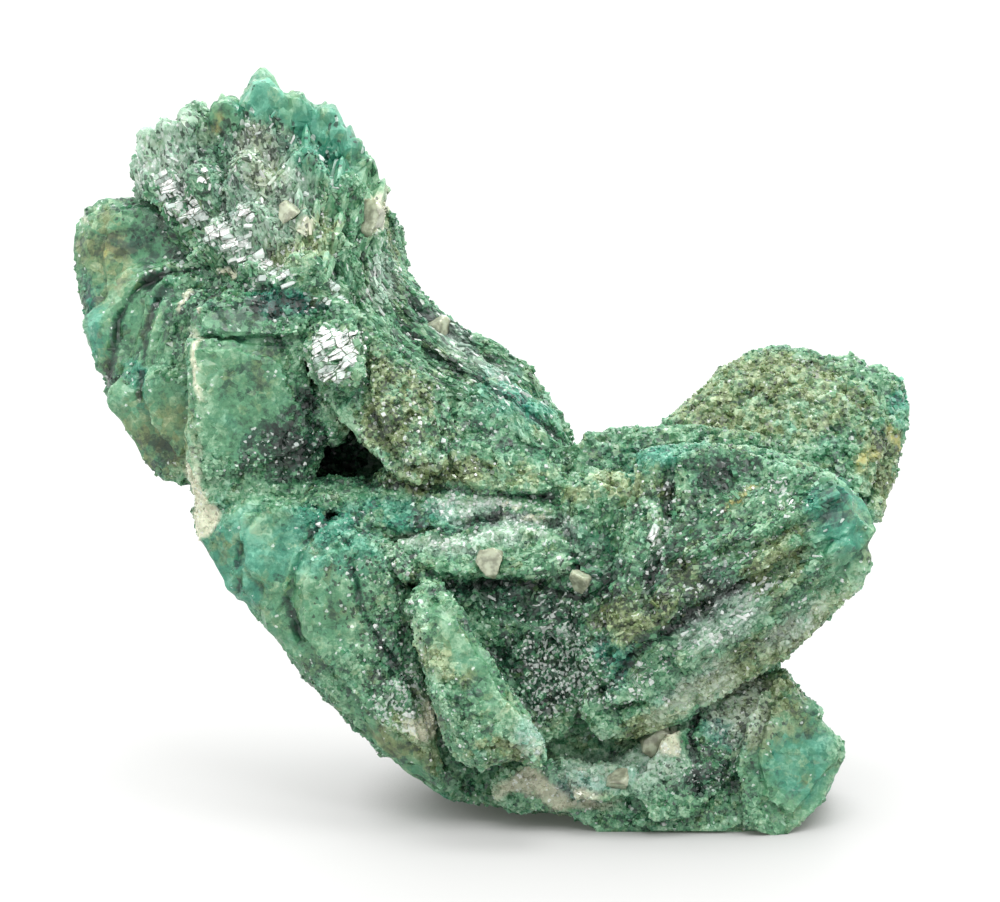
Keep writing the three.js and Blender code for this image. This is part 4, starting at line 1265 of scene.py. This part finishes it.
# Where grains lie: few on smooth and cleaved faces, none large on the crest's front.
CREST_FRONT = [(262, 185, 60, 70, 0), (165, 160, 45, 50, 0), (470, 660, 90, 30, -54)]
RIM_FACES = [(162, 146, 40, 30, 0)]
GRANULAR_RIM = across_up(206, 0)[0]


def fine_places(points, seen):
    """How thickly fine grains lie."""
    bare = (1 - region(seen, SMOOTH, 3.5)) ** 2 * (1 - 0.9 * region(seen, CLEAVED))
    inside = np.where(past_rim(seen) < 0.9, 1, 0.5 * (seen[:, 0] < GRANULAR_RIM))
    inside = inside * (1 - 0.75 * region(seen, RIM_FACES))
    return (0.03 + bare) * inside * (1 - 0.4 * unseen(seen))


def coarse_places(points, seen):
    """How thickly coarse grains lie."""
    return fine_places(points, seen) * (1 - 0.9 * region(seen, CREST_FRONT))


def flowing_places(points, seen):
    """How thickly splinters lie: only where crystals run side by side."""
    _, way = flow_of(seen)
    rim = past_rim(seen) > 0.88
    return 0.0001 + np.hypot(way[:, 0], way[:, 1]) * (1 - 0.9 * region(seen, SMOOTH)) * (1 - 0.97 * rim)


def finished(name, mesh, finish):
    """A visible piece of the specimen, from a mesh in mm."""
    mesh.transform(Matrix.Scale(MM, 4))
    mesh.materials.clear()
    mesh.materials.append(finish)
    piece = bpy.data.objects.new(name, mesh)
    bpy.context.scene.collection.objects.link(piece)
    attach(piece, "root")
    return piece


body_mesh = grow_body()
GRAINS = 15500
# Length, width and thickness from least to most in mm, lean, and how far they follow the flow.
COARSE = (0.17, 0.38), (0.12, 0.27), (0.1, 0.23), 0.4, 0.8
FINE = (0.11, 0.25), (0.08, 0.18), (0.08, 0.16), 0.45, 0.8
LONG = (0.28, 0.85), (0.09, 0.2), (0.1, 0.22), 0.2, 1.0
coarse_mesh = grains_on(body_mesh, "borcarite_grains", BLOCK, GRAINS, 3, coarse_places, *COARSE)
fine_meshes = [
    grains_on(body_mesh, f"borcarite_fine_grains_{k + 1}", BLOCK, GRAINS, 4 + 10 * k, fine_places, *FINE)
    for k in range(2)
]
splinter_mesh = grains_on(body_mesh, "borcarite_splinters", SPLINTER, GRAINS // 4, 5, flowing_places, *LONG)
blade_mesh = blades("crest_blades", crest_rows(), 9)
plate_mesh = cleavage_plates()
describe(body_mesh, points_of(body_mesh), bulge_of(body_mesh))
body_finish = borcarite_finish("borcarite", False)
grain_finish = borcarite_finish("borcarite grains", True)
blade_finish = borcarite_finish("borcarite blades", True, 0.6)
body = finished("borcarite_body", body_mesh, body_finish)
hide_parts("borcarite_cluster")
finished("borcarite_grains", coarse_mesh, grain_finish)
for k, fine_mesh in enumerate(fine_meshes):
    finished(f"borcarite_fine_grains_{k + 1}", fine_mesh, grain_finish)
finished("borcarite_splinters", splinter_mesh, grain_finish)
finished("crest_blades", blade_mesh, blade_finish)
finished("cleavage_plates", plate_mesh, grain_finish)


CAHNITE_CUT = 0.07
CAHNITE_ROUGHNESS, CAHNITE_LUMP, CAHNITE_SWELL = 0.035, 0.7, 0.02


def worn(node, number):
    """A cahnite crystal with its edges a little worn and its faces a little uneven."""
    mesh = cut_fine(solid_of(node), CAHNITE_CUT)
    points, edges = points_of(mesh), edges_of(mesh)
    low, high = (np.array(corner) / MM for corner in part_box(node))
    normals = averaged(normals_of(mesh), edges, 1)
    points = averaged(points, edges, 1)
    relief = CAHNITE_ROUGHNESS * rough(points, CAHNITE_LUMP, 60 + number) + CAHNITE_SWELL
    points += normals * relief[:, None]
    put_points(mesh, np.clip(points, low, high))
    return mesh


cahnite = cahnite_finish()
for number, node in enumerate(sorted(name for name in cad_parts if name.startswith("cahnite"))):
    crystal = finished(node.replace("crystal", "tablet"), worn(node, number), cahnite)
    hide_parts(node)


# Table, light and eye.

HALF_TABLE = 3.0
LIT = (0, 0, 0.015)


def table():
    corners = [(x * HALF_TABLE, y * HALF_TABLE, 0) for x, y in ((-1, -1), (1, -1), (1, 1), (-1, 1))]
    mesh = bpy.data.meshes.new("table")
    mesh.from_pydata(corners, [], [(0, 1, 2, 3)])
    mesh.materials.append(table_finish())
    floor = bpy.data.objects.new("table", mesh)
    bpy.context.scene.collection.objects.link(floor)


def softbox(name, place, width, power):
    """A square light that looks at the specimen's foot."""
    light = bpy.data.lights.new(name, "AREA")
    light.shape = "SQUARE"
    light.size = width
    light.energy = power
    lamp = bpy.data.objects.new(name, light)
    lamp.location = place
    lamp.rotation_euler = (Vector(LIT) - Vector(place)).to_track_quat("-Z", "Y").to_euler()
    bpy.context.scene.collection.objects.link(lamp)


def sky(overhead, in_front, backdrop):
    """White light from above and behind, less from the eye's own side, and a white backdrop low down."""
    world = bpy.data.worlds.new("sky")
    world.use_nodes = True
    f = Nodes(world.node_tree)
    way = f.node("ShaderNodeSeparateXYZ", {}, {0: f.node("ShaderNodeTexCoord").out("Generated")})
    light = (way.out("Y") + way.out("Z")).ranged(-0.8, 0.9, in_front, overhead)
    low_light = way.out("Z").ranged(0.04, 0.16, backdrop, 0.0)
    shining = {"Color": (1, 1, 1), "Strength": light.maths("MAXIMUM", light, low_light)}
    background = f.node("ShaderNodeBackground", {}, shining)
    f.node("ShaderNodeOutputWorld", {}, {"Surface": background.out(0)})
    bpy.context.scene.world = world


def eye():
    """The camera, where the specimen is looked at from."""
    camera = bpy.data.cameras.new("eye")
    camera.sensor_width = SENSOR
    camera.lens = SENSOR * EYE_DISTANCE / FRAME_WIDTH
    camera.clip_start, camera.clip_end = 0.05, 20
    watcher = bpy.data.objects.new("eye", camera)
    x, y = across_up(*FRAME_CENTRE)
    watcher.location = Vector(as_stood([x, y, 4 + EYE_DISTANCE]) * MM)
    watcher.rotation_euler = (math.pi / 2 - EYE_ELEVATION, 0, 0)
    bpy.context.scene.collection.objects.link(watcher)
    bpy.context.scene.camera = watcher


table()
softbox("key", (0.03, 0.0, 0.45), 0.2, 0.85)
softbox("front", (0.10, -0.36, 0.40), 0.14, 0.95)
sky(2.46, 0.6, 1.8)
eye()
bpy.context.scene.view_settings.view_transform = "Standard"
